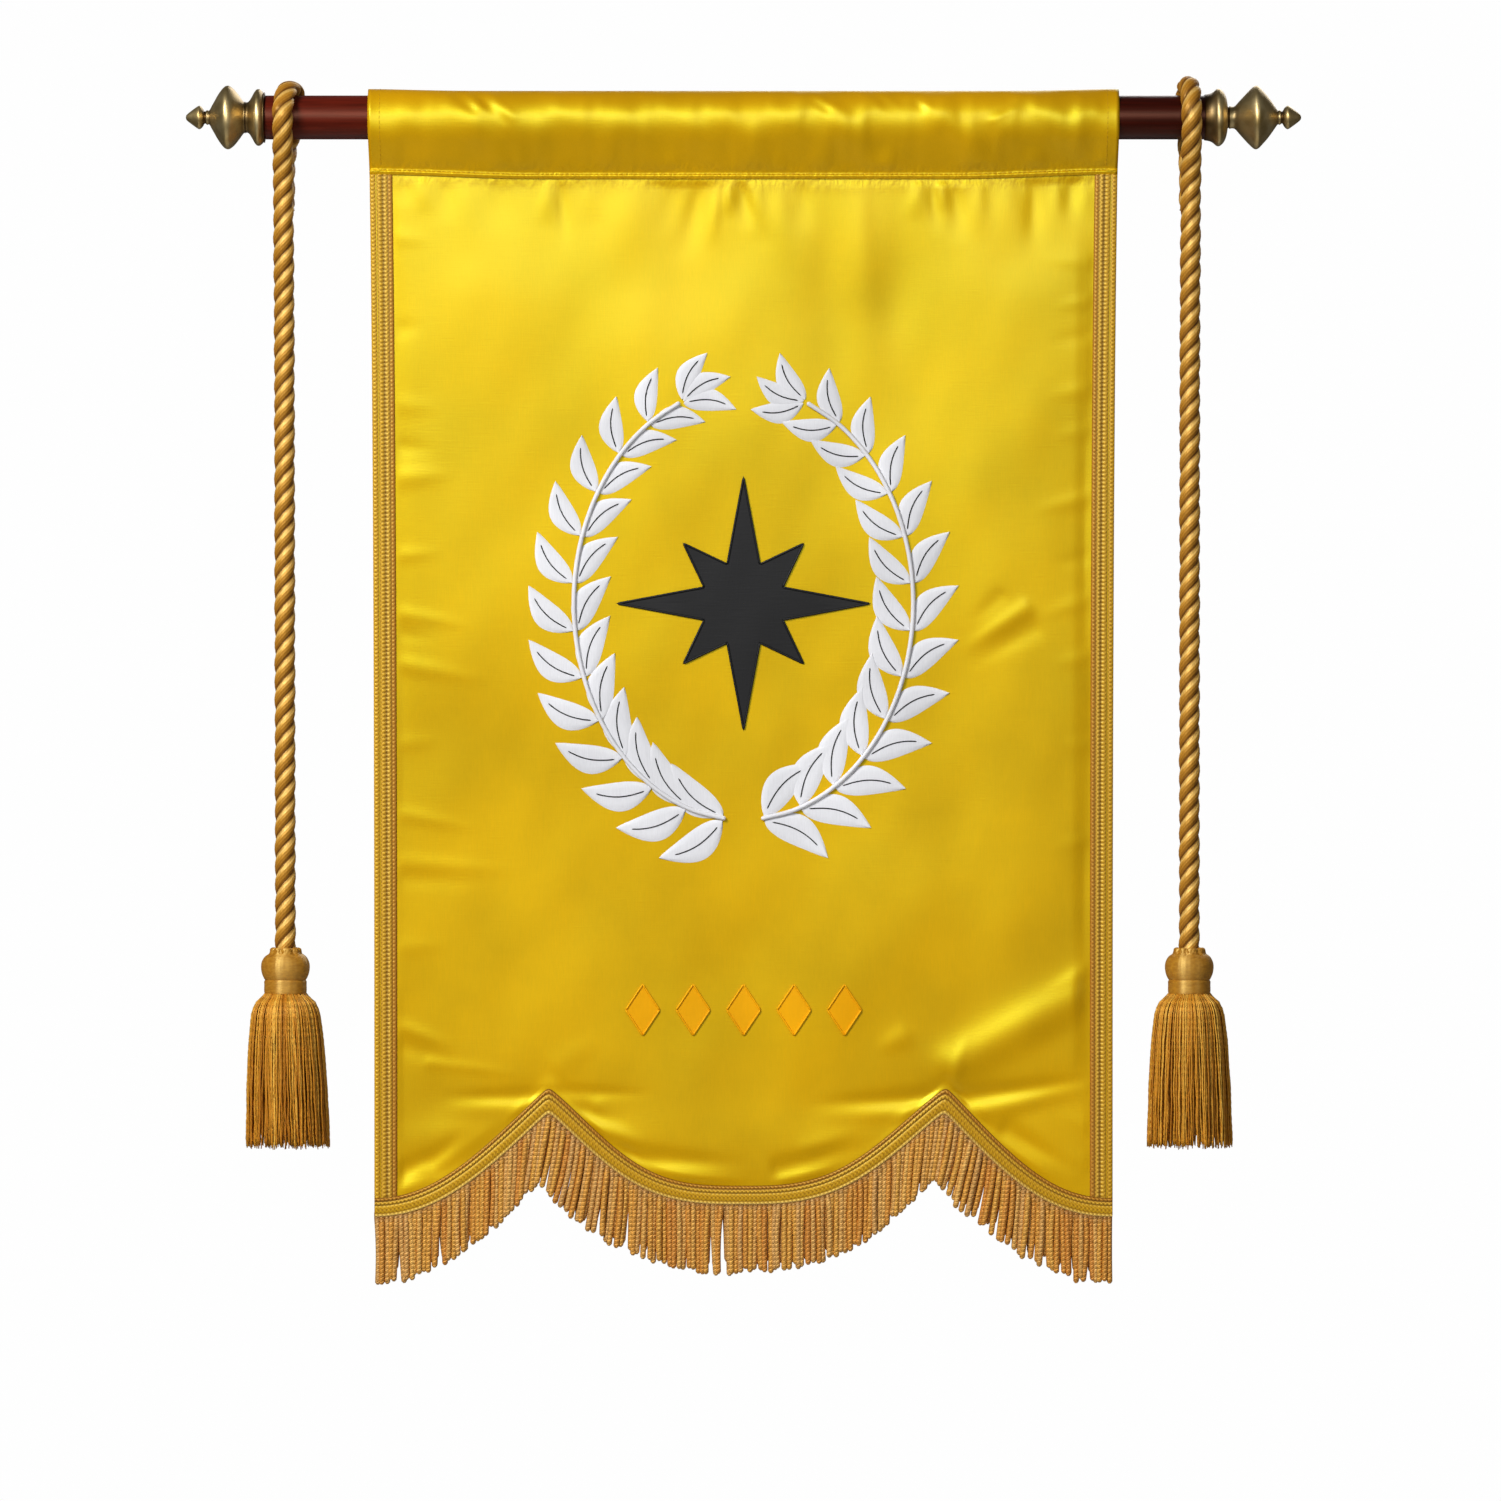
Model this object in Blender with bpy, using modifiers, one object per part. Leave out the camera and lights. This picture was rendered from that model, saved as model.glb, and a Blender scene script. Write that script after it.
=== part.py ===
"""A lodge banner on a rod: satin cloth with a rod sleeve, sewn braids, a fringed
scalloped hem, two twisted cords looped over the rod and a tassel on each.

Metres, +Z up. The origin is on the rod's axis, midway along the rod, and the
banner's face looks towards -Y.
"""

import math

import bmesh
import bpy
from mathutils import Vector

MM = 0.001
GAP = 0.3 * MM
SHARP_ANGLE = math.radians(40)
MERGE_DISTANCE = 0.00001

# The rod and its end fittings
ROD_RADIUS = 17.8 * MM
ROD_HALF_LENGTH = 384.9 * MM
ROD_SIDES = 28
FITTING_SIDES = 20

# The cloth
CLOTH_THICKNESS = 1.4 * MM
TOP_HALF_WIDTH = 304.8 * MM
HEM_HALF_WIDTH = 299.7 * MM
TAPER_HEIGHT = 280 * MM
SLEEVE_RADIUS = 19.4 * MM
LAYER_Y = CLOTH_THICKNESS / 2 + GAP / 2
STITCH_Z = -41 * MM
LIP_Z = -47.1 * MM
LIP_Y = -1.4 * MM
SLEEVE_ARC_STEPS = 10
SLEEVE_TANGENT_STEPS = 2
FLAT_ROWS = [z * MM for z in (-60, -100, -150, -215, -290, -370, -450, -530, -605, -670, -725)]
HEM_ROW_SHARES = (0.3, 0.6, 0.85, 1.0)

# The scalloped hem: the lower edge of the bottom braid
NOTCH_XS = (-159.3 * MM, 163.3 * MM)
NOTCH_Z = -809.0 * MM
CORNER_Z = -893.7 * MM
MIDDLE_Z = -883.9 * MM

# Each flank of the scallops: its low point, its notch, and the power and turn of its curve
FLANKS = (
    {"low": (-HEM_HALF_WIDTH, CORNER_Z), "notch": NOTCH_XS[0], "power": 1.06, "turn": 1.73},
    {"low": (0.0, MIDDLE_Z), "notch": NOTCH_XS[0], "power": 1.56, "turn": 2.12},
    {"low": (0.0, MIDDLE_Z), "notch": NOTCH_XS[1], "power": 1.45, "turn": 2.12},
    {"low": (HEM_HALF_WIDTH, CORNER_Z), "notch": NOTCH_XS[1], "power": 1.13, "turn": 1.73},
)
SIDE_LOBE_STEPS = 5
MIDDLE_LOBE_STEPS = 6
CLOTH_HEM_WIDTH = 6.0 * MM

# The sewn trimmings
BRAID_THICKNESS = 1.2 * MM
BRAID_RIB = 0.9 * MM
SIDE_BRAID_WIDTH = 18.5 * MM
BOTTOM_BRAID_WIDTH = 15.6 * MM
BRAID_MARGIN = 1.0 * MM
BRAID_Y = LAYER_Y - CLOTH_THICKNESS / 2 - GAP - BRAID_THICKNESS / 2

# The fringe
STRIP_THICKNESS = 1.8 * MM
STRIP_Y = LAYER_Y - CLOTH_THICKNESS / 2 + STRIP_THICKNESS / 2
STRIP_BOTTOM = 0.8 * MM
STRIP_TOP = CLOTH_HEM_WIDTH - 0.4 * MM
STRAND_COUNT = 138
STRAND_LENGTH = 54 * MM
STRAND_UNEVEN = 2.6 * MM
UNEVEN_TURN = 2.4
UNEVEN_DRIFT = 0.37
STRAND_ROOT = (3.2 * MM, 1.3 * MM)
STRAND_TIP = (3.4 * MM, 3.0 * MM)
NOTCH_LEAN = -9.0 * MM
NOTCH_LEAN_CENTRE = 16 * MM
NOTCH_LEAN_WIDTH = 38 * MM

# The cords
CORD_RADIUS = 8.0 * MM
CORD_GROOVE_RADIUS = 6.1 * MM
CORD_PLIES = 3
CORD_PITCH = 48 * MM
CORD_STEPS_PER_TURN = 8
TAIL_TIP_SCALE = 0.62
CORD_DRIFT = 1.2 * MM
CURVE_PARTS = 20

# The tassels
HEAD_TOP_Z = -675 * MM
HEAD_SIDES = 20
BAND_BOTTOM = -37.8 * MM
SKIRT_BOTTOM_Z = -837.5 * MM
SKIRT_UNEVEN = 2.5 * MM

# Each cord's place, how far its loop leans towards the cloth, and its drift as it hangs
CORDS = {
    "left": {"x": -373.5 * MM, "lean": 1.0, "drift": CORD_DRIFT},
    "right": {"x": 363.0 * MM, "lean": -0.3, "drift": -0.6 * CORD_DRIFT},
}

# The loop's route in mm, from its sewn end behind the cord, over the rod and down
LOOP_ROUTE = [
    {"lean": 0.0, "y": 8.3, "z": -80.0},
    {"lean": 0.0, "y": 8.4, "z": -66.0},
    {"lean": 0.0, "y": 10.3, "z": -50.0},
    {"lean": 0.4, "y": 14.8, "z": -35.0},
    {"lean": 2.2, "y": 21.4, "z": -19.0},
    {"lean": 6.8, "y": 26.2, "z": 0.0},
    {"lean": 9.0, "y": 22.8, "z": 13.1},
    {"lean": 8.0, "y": 13.2, "z": 22.8},
    {"lean": 5.3, "y": 0.0, "z": 26.4},
    {"lean": 2.8, "y": -13.2, "z": 22.8},
    {"lean": 1.2, "y": -22.8, "z": 13.1},
    {"lean": 0.5, "y": -26.2, "z": 0.0},
    {"lean": 0.2, "y": -21.4, "z": -19.0},
    {"lean": 0.0, "y": -14.8, "z": -35.0},
    {"lean": 0.0, "y": -10.3, "z": -50.0},
    {"lean": 0.0, "y": -8.4, "z": -66.0},
    {"lean": 0.0, "y": -8.2, "z": -82.0},
    {"lean": 0.0, "y": -7.4, "z": -98.0},
    {"lean": 0.0, "y": -5.0, "z": -122.0},
    {"lean": 0.0, "y": -2.2, "z": -155.0},
    {"lean": 0.0, "y": -0.6, "z": -195.0},
    {"lean": 0.0, "y": 0.0, "z": -250.0},
    {"lean": 0.0, "y": 0.0, "z": -400.0},
    {"lean": 0.0, "y": 0.0, "z": -550.0},
    {"lean": 0.0, "y": 0.0, "z": -683.0},
]

# The cloth's main folds in mm: a line, the fold's half width and its rise to the front
FOLDS = [
    {"from": (-244, -794), "to": (-170, -791), "half_width": 20, "rise": -4.5},
    {"from": (-150, -792), "to": (-84, -799), "half_width": 22, "rise": -3.5},
    {"from": (60, -797), "to": (154, -790), "half_width": 22, "rise": -3.5},
    {"from": (172, -792), "to": (250, -796), "half_width": 20, "rise": -4.0},
    {"from": (184, -747), "to": (262, -705), "half_width": 20, "rise": 5.5},
    {"from": (196, -772), "to": (262, -738), "half_width": 17, "rise": -3.0},
    {"from": (-238, -842), "to": (-210, -832), "half_width": 30, "rise": 4.0},
    {"from": (-84, -834), "to": (66, -834), "half_width": 30, "rise": 4.5},
    {"from": (238, -822), "to": (252, -842), "half_width": 28, "rise": 3.5},
    {"from": (-70, -190), "to": (-45, -430), "half_width": 62, "rise": 3.0},
    {"from": (95, -170), "to": (70, -560), "half_width": 60, "rise": -3.0},
    {"from": (235, -150), "to": (250, -640), "half_width": 55, "rise": 3.5},
    {"from": (-215, -150), "to": (-225, -440), "half_width": 60, "rise": 3.0},
    {"from": (-160, -500), "to": (-60, -690), "half_width": 60, "rise": -2.5},
    {"from": (120, -640), "to": (60, -730), "half_width": 50, "rise": 2.5},
]
FOLD_FADE = 22 * MM
SWAY = 3.0 * MM
EDGE_CURL = 3.0 * MM


def clear_scene():
    for obj in list(bpy.data.objects):
        bpy.data.objects.remove(obj, do_unlink=True)


def new_collection(name):
    collection = bpy.data.collections.new(name)
    bpy.context.scene.collection.children.link(collection)
    return collection


def new_material(name, colour, roughness, metallic=0.0):
    material = bpy.data.materials.new(name)
    material.use_nodes = True
    shader = material.node_tree.nodes["Principled BSDF"]
    shader.inputs["Base Color"].default_value = (*colour, 1.0)
    shader.inputs["Roughness"].default_value = roughness
    shader.inputs["Metallic"].default_value = metallic
    return material


def new_object(name, data, collection, material=None):
    obj = bpy.data.objects.new(name, data)
    collection.objects.link(obj)
    if material:
        data.materials.append(material)
    return obj


def as_helper(obj):
    obj.hide_render = True
    obj.display_type = "WIRE"
    return obj


def smooth(mesh):
    mesh.shade_smooth()
    mesh.set_sharp_from_angle(angle=SHARP_ANGLE)


def smooth_step(value):
    value = min(1.0, max(0.0, value))
    return value * value * (3 - 2 * value)


def mix(a, b, share):
    return a + (b - a) * share


# The cloth's shape

def half_width(z):
    """Half the cloth's width at a height: a little narrower towards the hem."""
    return HEM_HALF_WIDTH + (TOP_HALF_WIDTH - HEM_HALF_WIDTH) * math.exp(min(z, 0.0) / TAPER_HEIGHT)


def flank_at(x):
    """The flank that an x lies in."""
    breaks = (NOTCH_XS[0], 0.0, NOTCH_XS[1])
    return FLANKS[sum(x > stop for stop in breaks)]


def hem(x):
    """The height of the hem's lower edge: level at a low point, and easing off again at a notch."""
    flank = flank_at(x)
    low_x, low_z = flank["low"]
    share = abs((x - low_x) / (flank["notch"] - low_x))
    climb = (1 - math.cos(flank["turn"] * share ** flank["power"])) / (1 - math.cos(flank["turn"]))
    return low_z + (NOTCH_Z - low_z) * climb


def steepness(x):
    """The length of the hem's edge for each unit of x, with a mitre's mean at a notch."""
    reach = 0.1 * MM
    lengths = []
    for a, b in ((x - reach, x), (x, x + reach)):
        lengths.append(math.hypot(reach, hem(b) - hem(a)) / reach)
    return sum(lengths) / 2


def above_hem(x, width):
    """The height of a line that runs a given width above the hem's lower edge."""
    return hem(x) + width * steepness(x)


def distance_to_line(x, z, start, end):
    along = Vector(end) - Vector(start)
    offset = Vector((x, z)) - Vector(start)
    share = min(1.0, max(0.0, offset.dot(along) / along.length_squared))
    return (offset - along * share).length


def fold_rise(x, z):
    """How far the folds bring the cloth to the front. The stiff trimmed edges stay calm."""
    total = 0.0
    for fold in FOLDS:
        distance = distance_to_line(x / MM, z / MM, fold["from"], fold["to"])
        total += fold["rise"] * MM * math.exp(-((distance / fold["half_width"]) ** 2))
    from_side = half_width(z) - abs(x) - SIDE_BRAID_WIDTH
    from_hem = z - above_hem(x, BOTTOM_BRAID_WIDTH)
    from_seam = LIP_Z - z
    calm = 1.0
    for room in (from_side, from_hem, from_seam):
        calm *= smooth_step(room / FOLD_FADE)
    return total * calm


def sway(x, z):
    """The slight bow of the whole hanging cloth, which its trimmings share."""
    fall = max(0.0, (STITCH_Z - z) / (STITCH_Z - CORNER_Z))
    return SWAY * math.sin(math.pi * fall) * fall - EDGE_CURL * (x / TOP_HALF_WIDTH) ** 2 * fall**2


def panel_y(x, z):
    return LAYER_Y + sway(x, z) - fold_rise(x, z)


def column_xs():
    """The x of each column of the cloth at its hem, with one at each notch and by each braid."""
    inner = HEM_HALF_WIDTH - SIDE_BRAID_WIDTH - BRAID_MARGIN
    stops = [(-inner, NOTCH_XS[0], SIDE_LOBE_STEPS), (NOTCH_XS[0], 0.0, MIDDLE_LOBE_STEPS)]
    stops += [(0.0, NOTCH_XS[1], MIDDLE_LOBE_STEPS), (NOTCH_XS[1], inner, SIDE_LOBE_STEPS)]
    xs = [-HEM_HALF_WIDTH, -inner]
    for start, end, steps in stops:
        xs += [mix(start, end, (step + 1) / steps) for step in range(steps)]
    return xs + [HEM_HALF_WIDTH]


def sleeve_profile():
    """(y, z) points up the sleeve's front, over the rod and down its back to the seam."""
    turn = math.acos(SLEEVE_RADIUS / math.hypot(LAYER_Y, STITCH_Z))
    start = math.atan2(STITCH_Z, -LAYER_Y) - turn
    end = math.atan2(STITCH_Z, LAYER_Y) + turn - math.tau
    arc = []
    for step in range(SLEEVE_ARC_STEPS + 1):
        angle = mix(start, end, step / SLEEVE_ARC_STEPS)
        arc.append((SLEEVE_RADIUS * math.cos(angle), SLEEVE_RADIUS * math.sin(angle)))
    front = [(LIP_Y, LIP_Z), (-LAYER_Y, mix(LIP_Z, STITCH_Z, 0.5)), (-LAYER_Y, STITCH_Z)]
    back = []
    for step in range(1, SLEEVE_TANGENT_STEPS):
        share = step / SLEEVE_TANGENT_STEPS
        front.append((mix(-LAYER_Y, arc[0][0], share), mix(STITCH_Z, arc[0][1], share)))
        back.append((mix(arc[-1][0], LAYER_Y, share), mix(arc[-1][1], STITCH_Z, share)))
    return front + arc + back + [(LAYER_Y, STITCH_Z)]


def grid_mesh(name, columns, rows, place):
    """A grid of columns and rows of points, each put where place(column, row) says."""
    shape = bmesh.new()
    bmesh.ops.create_grid(shape, x_segments=columns - 1, y_segments=rows - 1, size=1.0)
    for vertex in shape.verts:
        column = round((vertex.co.x + 1) / 2 * (columns - 1))
        row = round((vertex.co.y + 1) / 2 * (rows - 1))
        vertex.co = place(column, row)
    mesh = bpy.data.meshes.new(name)
    shape.to_mesh(mesh)
    shape.free()
    smooth(mesh)
    return mesh


def add_thickness(obj, thickness):
    modifier = obj.modifiers.new("Thickness", "SOLIDIFY")
    modifier.thickness = thickness
    modifier.offset = 0.0
    modifier.use_even_offset = True


def add_union(obj, other):
    modifier = obj.modifiers.new("Union", "BOOLEAN")
    modifier.operation = "UNION"
    modifier.object = other


def make_cloth(collection, material):
    """One piece of satin: the hem in front, the sleeve over the rod, and the panel."""
    profile = sleeve_profile()
    xs = column_xs()
    rows = len(profile) + len(FLAT_ROWS) + len(HEM_ROW_SHARES) + 1

    def place(column, row):
        x = xs[column]
        if row < len(profile):
            y, z = profile[row]
            return (x * half_width(z) / HEM_HALF_WIDTH, y, z)
        row -= len(profile)
        if row < len(FLAT_ROWS):
            z = FLAT_ROWS[row]
        elif row < len(FLAT_ROWS) + len(HEM_ROW_SHARES):
            share = HEM_ROW_SHARES[row - len(FLAT_ROWS)]
            z = mix(FLAT_ROWS[-1], above_hem(x, BOTTOM_BRAID_WIDTH + BRAID_MARGIN), share)
        else:
            z = above_hem(x, CLOTH_HEM_WIDTH)
        x *= half_width(z) / HEM_HALF_WIDTH
        return (x, panel_y(x, z), z)

    mesh = grid_mesh("banner_cloth", len(xs), rows, place)
    cloth = new_object("banner_cloth", mesh, collection, material)
    add_thickness(cloth, CLOTH_THICKNESS)


def make_side_braid(name, side, collection, material):
    """A ribbed braid down one edge of the cloth, from the sleeve to the bottom braid."""
    ribs = (0.0, 1.0, 0.0, 1.0, 0.0, 1.0, 0.0)
    levels = [LIP_Z - GAP] + FLAT_ROWS
    reach = SIDE_BRAID_WIDTH + BRAID_MARGIN
    outer_end = above_hem(side * HEM_HALF_WIDTH, BOTTOM_BRAID_WIDTH)
    inner_end = above_hem(side * (HEM_HALF_WIDTH - reach), BOTTOM_BRAID_WIDTH)

    def place(column, row):
        inset = SIDE_BRAID_WIDTH * column / (len(ribs) - 1)
        if row < len(levels):
            z = levels[row]
        else:
            share = HEM_ROW_SHARES[row - len(levels)]
            z = mix(levels[-1], mix(outer_end, inner_end, inset / reach) + GAP, share)
        x = side * (half_width(z) - inset)
        return (x, BRAID_Y + sway(x, z) - BRAID_RIB * ribs[column], z)

    rows = len(levels) + len(HEM_ROW_SHARES)
    mesh = grid_mesh(name, len(ribs), rows, place)
    braid = new_object(name, mesh, collection, material)
    add_thickness(braid, BRAID_THICKNESS)


def make_bottom_braid(collection, material):
    """A ribbed braid along the scalloped hem, mitred at the notches."""
    ribs = (0.0, 1.0, 0.0, 1.0, 0.0)
    xs = column_xs()

    def place(column, row):
        x = xs[column]
        z = above_hem(x, BOTTOM_BRAID_WIDTH * row / (len(ribs) - 1))
        return (x, BRAID_Y + sway(x, z) - BRAID_RIB * ribs[row], z)

    mesh = grid_mesh("braid_bottom", len(xs), len(ribs), place)
    braid = new_object("braid_bottom", mesh, collection, material)
    add_thickness(braid, BRAID_THICKNESS)


# Strands

def add_strand(shape, rings):
    """A four-sided strand through rings of (centre, across, along): two half sizes as vectors."""
    corners = []
    for centre, across, along in rings:
        ring = [centre + across * a + along * b for a, b in ((-1, -1), (1, -1), (1, 1), (-1, 1))]
        corners.append([shape.verts.new(point) for point in ring])
    faces = [corners[0], corners[-1][::-1]]
    for upper, lower in zip(corners, corners[1:]):
        for side in range(4):
            after = (side + 1) % 4
            faces.append((upper[after], upper[side], lower[side], lower[after]))
    for face in faces:
        shape.faces.new(face)


def strands_object(name, strands, collection):
    """Many strands as one helper mesh, ready to be joined to their backing."""
    shape = bmesh.new()
    for rings in strands:
        add_strand(shape, rings)
    bmesh.ops.recalc_face_normals(shape, faces=shape.faces)
    mesh = bpy.data.meshes.new(name)
    shape.to_mesh(mesh)
    shape.free()
    return as_helper(new_object(name, mesh, collection))


def fringe_strand(number):
    """One hanging strand: its root in the strip and its tip, leaning near a notch."""
    share = (number + 0.5) / STRAND_COUNT
    x = mix(-HEM_HALF_WIDTH, HEM_HALF_WIDTH, share)
    root_z = above_hem(x, (STRIP_BOTTOM + STRIP_TOP) / 2)
    uneven = math.sin(number * UNEVEN_TURN) * math.sin(number * UNEVEN_DRIFT)
    tip_z = hem(x) - STRAND_LENGTH + STRAND_UNEVEN * uneven
    nearest = min(abs(x - notch - NOTCH_LEAN_CENTRE) for notch in NOTCH_XS)
    lean = NOTCH_LEAN * math.exp(-((nearest / NOTCH_LEAN_WIDTH) ** 2))
    y = STRIP_Y + sway(x, root_z)
    rings = []
    for centre, size in (((x, y, root_z), STRAND_ROOT), ((x + lean, y, tip_z), STRAND_TIP)):
        across, along = size[0] / 2, size[1] / 2
        rings.append((Vector(centre), Vector((across, 0, 0)), Vector((0, along, 0))))
    return rings


def make_fringe(collection, helpers, material):
    """A narrow heading strip just below the cloth's edge, and the strands rooted in it."""
    xs = column_xs()

    def place(column, row):
        x = xs[column]
        z = above_hem(x, (STRIP_BOTTOM, STRIP_TOP)[row])
        return (x, STRIP_Y + sway(x, z), z)

    fringe = new_object("fringe", grid_mesh("fringe", len(xs), 2, place), collection, material)
    add_thickness(fringe, STRIP_THICKNESS)
    strands = [fringe_strand(number) for number in range(STRAND_COUNT)]
    add_union(fringe, strands_object("fringe_strands", strands, helpers))


# Turned pieces

def turned_object(name, profile, sides, collection, material):
    """A profile of (radius, height) in metres, down its outer side, turned about Z."""
    shape = bmesh.new()
    points = [shape.verts.new((radius, 0, height)) for radius, height in profile]
    for start, end in zip(points, points[1:]):
        shape.edges.new((start, end))
    mesh = bpy.data.meshes.new(name)
    shape.to_mesh(mesh)
    shape.free()
    obj = new_object(name, mesh, collection, material)
    screw = obj.modifiers.new("Turned", "SCREW")
    screw.angle = math.tau
    screw.steps = sides
    screw.render_steps = sides
    screw.use_merge_vertices = True
    screw.merge_threshold = MERGE_DISTANCE
    screw.use_smooth_shade = True
    return obj


def in_metres(profile):
    return [(radius * MM, height * MM) for radius, height in profile]


# (radius, distance from the rod's end) in mm, from the tip to the neck
FINIAL_PROFILE = [
    (0.0, 68.3), (2.4, 67.4), (5.6, 63.6), (8.8, 59.6), (10.2, 56.8), (8.6, 54.4), (7.5, 52.2),
    (8.4, 49.8), (12.2, 46.4), (17.4, 42.6), (22.6, 38.4), (25.9, 34.6), (26.0, 32.4), (23.4, 28.4),
    (18.6, 24.4), (14.2, 21.0), (12.3, 17.8), (0.0, 17.8),
]
# (radius, distance from the rod's end) in mm, from the neck to the rod
COLLAR_PROFILE = [
    (0.0, 17.5), (12.3, 17.5), (13.6, 14.6), (17.8, 11.4), (22.0, 8.2), (23.0, 5.6), (21.8, 2.4),
    (19.2, 0.3), (0.0, 0.3),
]


def make_rod(collection, wood, brass):
    bpy.ops.mesh.primitive_cylinder_add(
        vertices=ROD_SIDES, radius=ROD_RADIUS, depth=2 * ROD_HALF_LENGTH, rotation=(0, math.pi / 2, 0)
    )
    rod = bpy.context.object
    rod.name = "rod"
    rod.data.name = "rod"
    rod.data.materials.append(wood)
    smooth(rod.data)
    for owner in list(rod.users_collection):
        owner.objects.unlink(rod)
    collection.objects.link(rod)
    for name, side in (("left", -1), ("right", 1)):
        for piece, profile in (("collar", COLLAR_PROFILE), ("finial", FINIAL_PROFILE)):
            fitting = turned_object(
                f"{piece}_{name}", in_metres(profile), FITTING_SIDES, collection, brass
            )
            fitting.location = (side * ROD_HALF_LENGTH, 0, 0)
            fitting.rotation_euler = (0, side * math.pi / 2, 0)


# Cords and tassels

def smooth_route(points, step):
    """Points about a step apart along a smooth curve through the route's own points."""
    dense = []
    padded = [points[0] * 2 - points[1], *points, points[-1] * 2 - points[-2]]
    for a, b, c, d in zip(padded, padded[1:], padded[2:], padded[3:]):
        for part in range(CURVE_PARTS):
            t = part / CURVE_PARTS
            square = (a * 2 - b * 5 + c * 4 - d) * t**2
            cube = (b * 3 - a - c * 3 + d) * t**3
            dense.append((b * 2 + (c - a) * t + square + cube) / 2)
    dense.append(points[-1])
    lengths = [0.0]
    for a, b in zip(dense, dense[1:]):
        lengths.append(lengths[-1] + (b - a).length)
    count = round(lengths[-1] / step)
    route = []
    index = 0
    for number in range(count + 1):
        target = lengths[-1] * number / count
        while index < len(dense) - 2 and lengths[index + 1] < target:
            index += 1
        share = (target - lengths[index]) / (lengths[index + 1] - lengths[index])
        route.append(dense[index].lerp(dense[index + 1], share))
    return route


def cord_route(place):
    drop = LOOP_ROUTE[-1]["z"] * MM
    points = []
    for row in LOOP_ROUTE:
        z = row["z"] * MM
        x = place["x"] + place["lean"] * row["lean"] * MM + place["drift"] * max(0.0, z / drop)
        points.append(Vector((x, row["y"] * MM, z)))
    return smooth_route(points, CORD_PITCH / CORD_STEPS_PER_TURN)


def cord_section(helpers):
    """The cord's section across its three plies, as a closed outline: a groove between two shoulders."""
    outline = bpy.data.curves.new("cord_section", "CURVE")
    outline.dimensions = "2D"
    spline = outline.splines.new("POLY")
    count = 3 * CORD_PLIES
    spline.points.add(count - 1)
    spline.use_cyclic_u = True
    for number, point in enumerate(spline.points):
        angle = -math.tau * number / count
        radius = CORD_GROOVE_RADIUS if number % 3 == 0 else CORD_RADIUS
        point.co = (radius * math.cos(angle), radius * math.sin(angle), 0, 1)
    return as_helper(new_object("cord_section", outline, helpers))


def make_cord(name, place, section, collection, material):
    """A twisted cord: a loop over the rod, sewn shut behind, and a straight drop to its tassel."""
    route = cord_route(place)
    curve = bpy.data.curves.new(name, "CURVE")
    curve.dimensions = "3D"
    curve.twist_mode = "MINIMUM"
    curve.bevel_mode = "OBJECT"
    curve.bevel_object = section
    curve.use_fill_caps = True
    spline = curve.splines.new("POLY")
    spline.points.add(len(route) - 1)
    for number, (point, centre) in enumerate(zip(spline.points, route)):
        point.co = (*centre, 1)
        point.tilt = math.tau * number / CORD_STEPS_PER_TURN
    spline.points[0].radius = TAIL_TIP_SCALE
    new_object(name, curve, collection, material)


# (radius, height) in mm from the head's top: the socket, its rim, the ball and the band
HEAD_PROFILE = [
    (0.0, -8.3), (8.6, -8.3), (8.6, -1.0), (9.6, 0.0), (12.0, -0.8), (12.8, -3.0), (16.4, -6.0),
    (18.9, -10.5), (19.4, -15.5), (18.7, -20.8), (16.9, -26.0), (17.3, -27.0), (17.3, -37.2),
    (16.6, -37.8), (0.0, -37.8),
]
# Rings of locks in mm: count, then radius, half width and half depth at the root, bell and tip
LOCK_RINGS = [
    {"count": 26, "turn": 0.0, "root": (14.1, 1.35, 1.2), "bell": (24.2, 2.5, 1.8), "tip": (31.0, 3.1, 2.6)},
    {"count": 12, "turn": 0.5, "root": (9.2, 1.8, 1.4), "bell": (14.6, 2.9, 2.8), "tip": (19.6, 3.8, 4.4)},
]
LOCK_ROOT_Z = BAND_BOTTOM + 2.0 * MM
LOCK_BELL_Z = BAND_BOTTOM - 16.0 * MM


def tassel_lock(ring, number):
    angle = math.tau * (number + ring["turn"]) / ring["count"]
    out = Vector((math.cos(angle), math.sin(angle), 0))
    across = Vector((-math.sin(angle), math.cos(angle), 0))
    tip_z = SKIRT_BOTTOM_Z - HEAD_TOP_Z + SKIRT_UNEVEN * math.sin(number * UNEVEN_TURN) ** 2
    rings = []
    for key, z in (("root", LOCK_ROOT_Z), ("bell", LOCK_BELL_Z), ("tip", tip_z)):
        radius, wide, deep = (value * MM for value in ring[key])
        rings.append((out * radius + Vector((0, 0, z)), across * wide, out * deep))
    return rings


def make_tassel(name, place, collection, helpers, material):
    """A bound head with a socket for the cord's end, and a skirt of locks rooted in it."""
    tassel = turned_object(name, in_metres(HEAD_PROFILE), HEAD_SIDES, collection, material)
    locks = [tassel_lock(ring, number) for ring in LOCK_RINGS for number in range(ring["count"])]
    skirt = strands_object(f"{name}_locks", locks, helpers)
    end = (place["x"] + place["drift"], 0, HEAD_TOP_Z)
    tassel.location = end
    skirt.location = end
    add_union(tassel, skirt)


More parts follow.
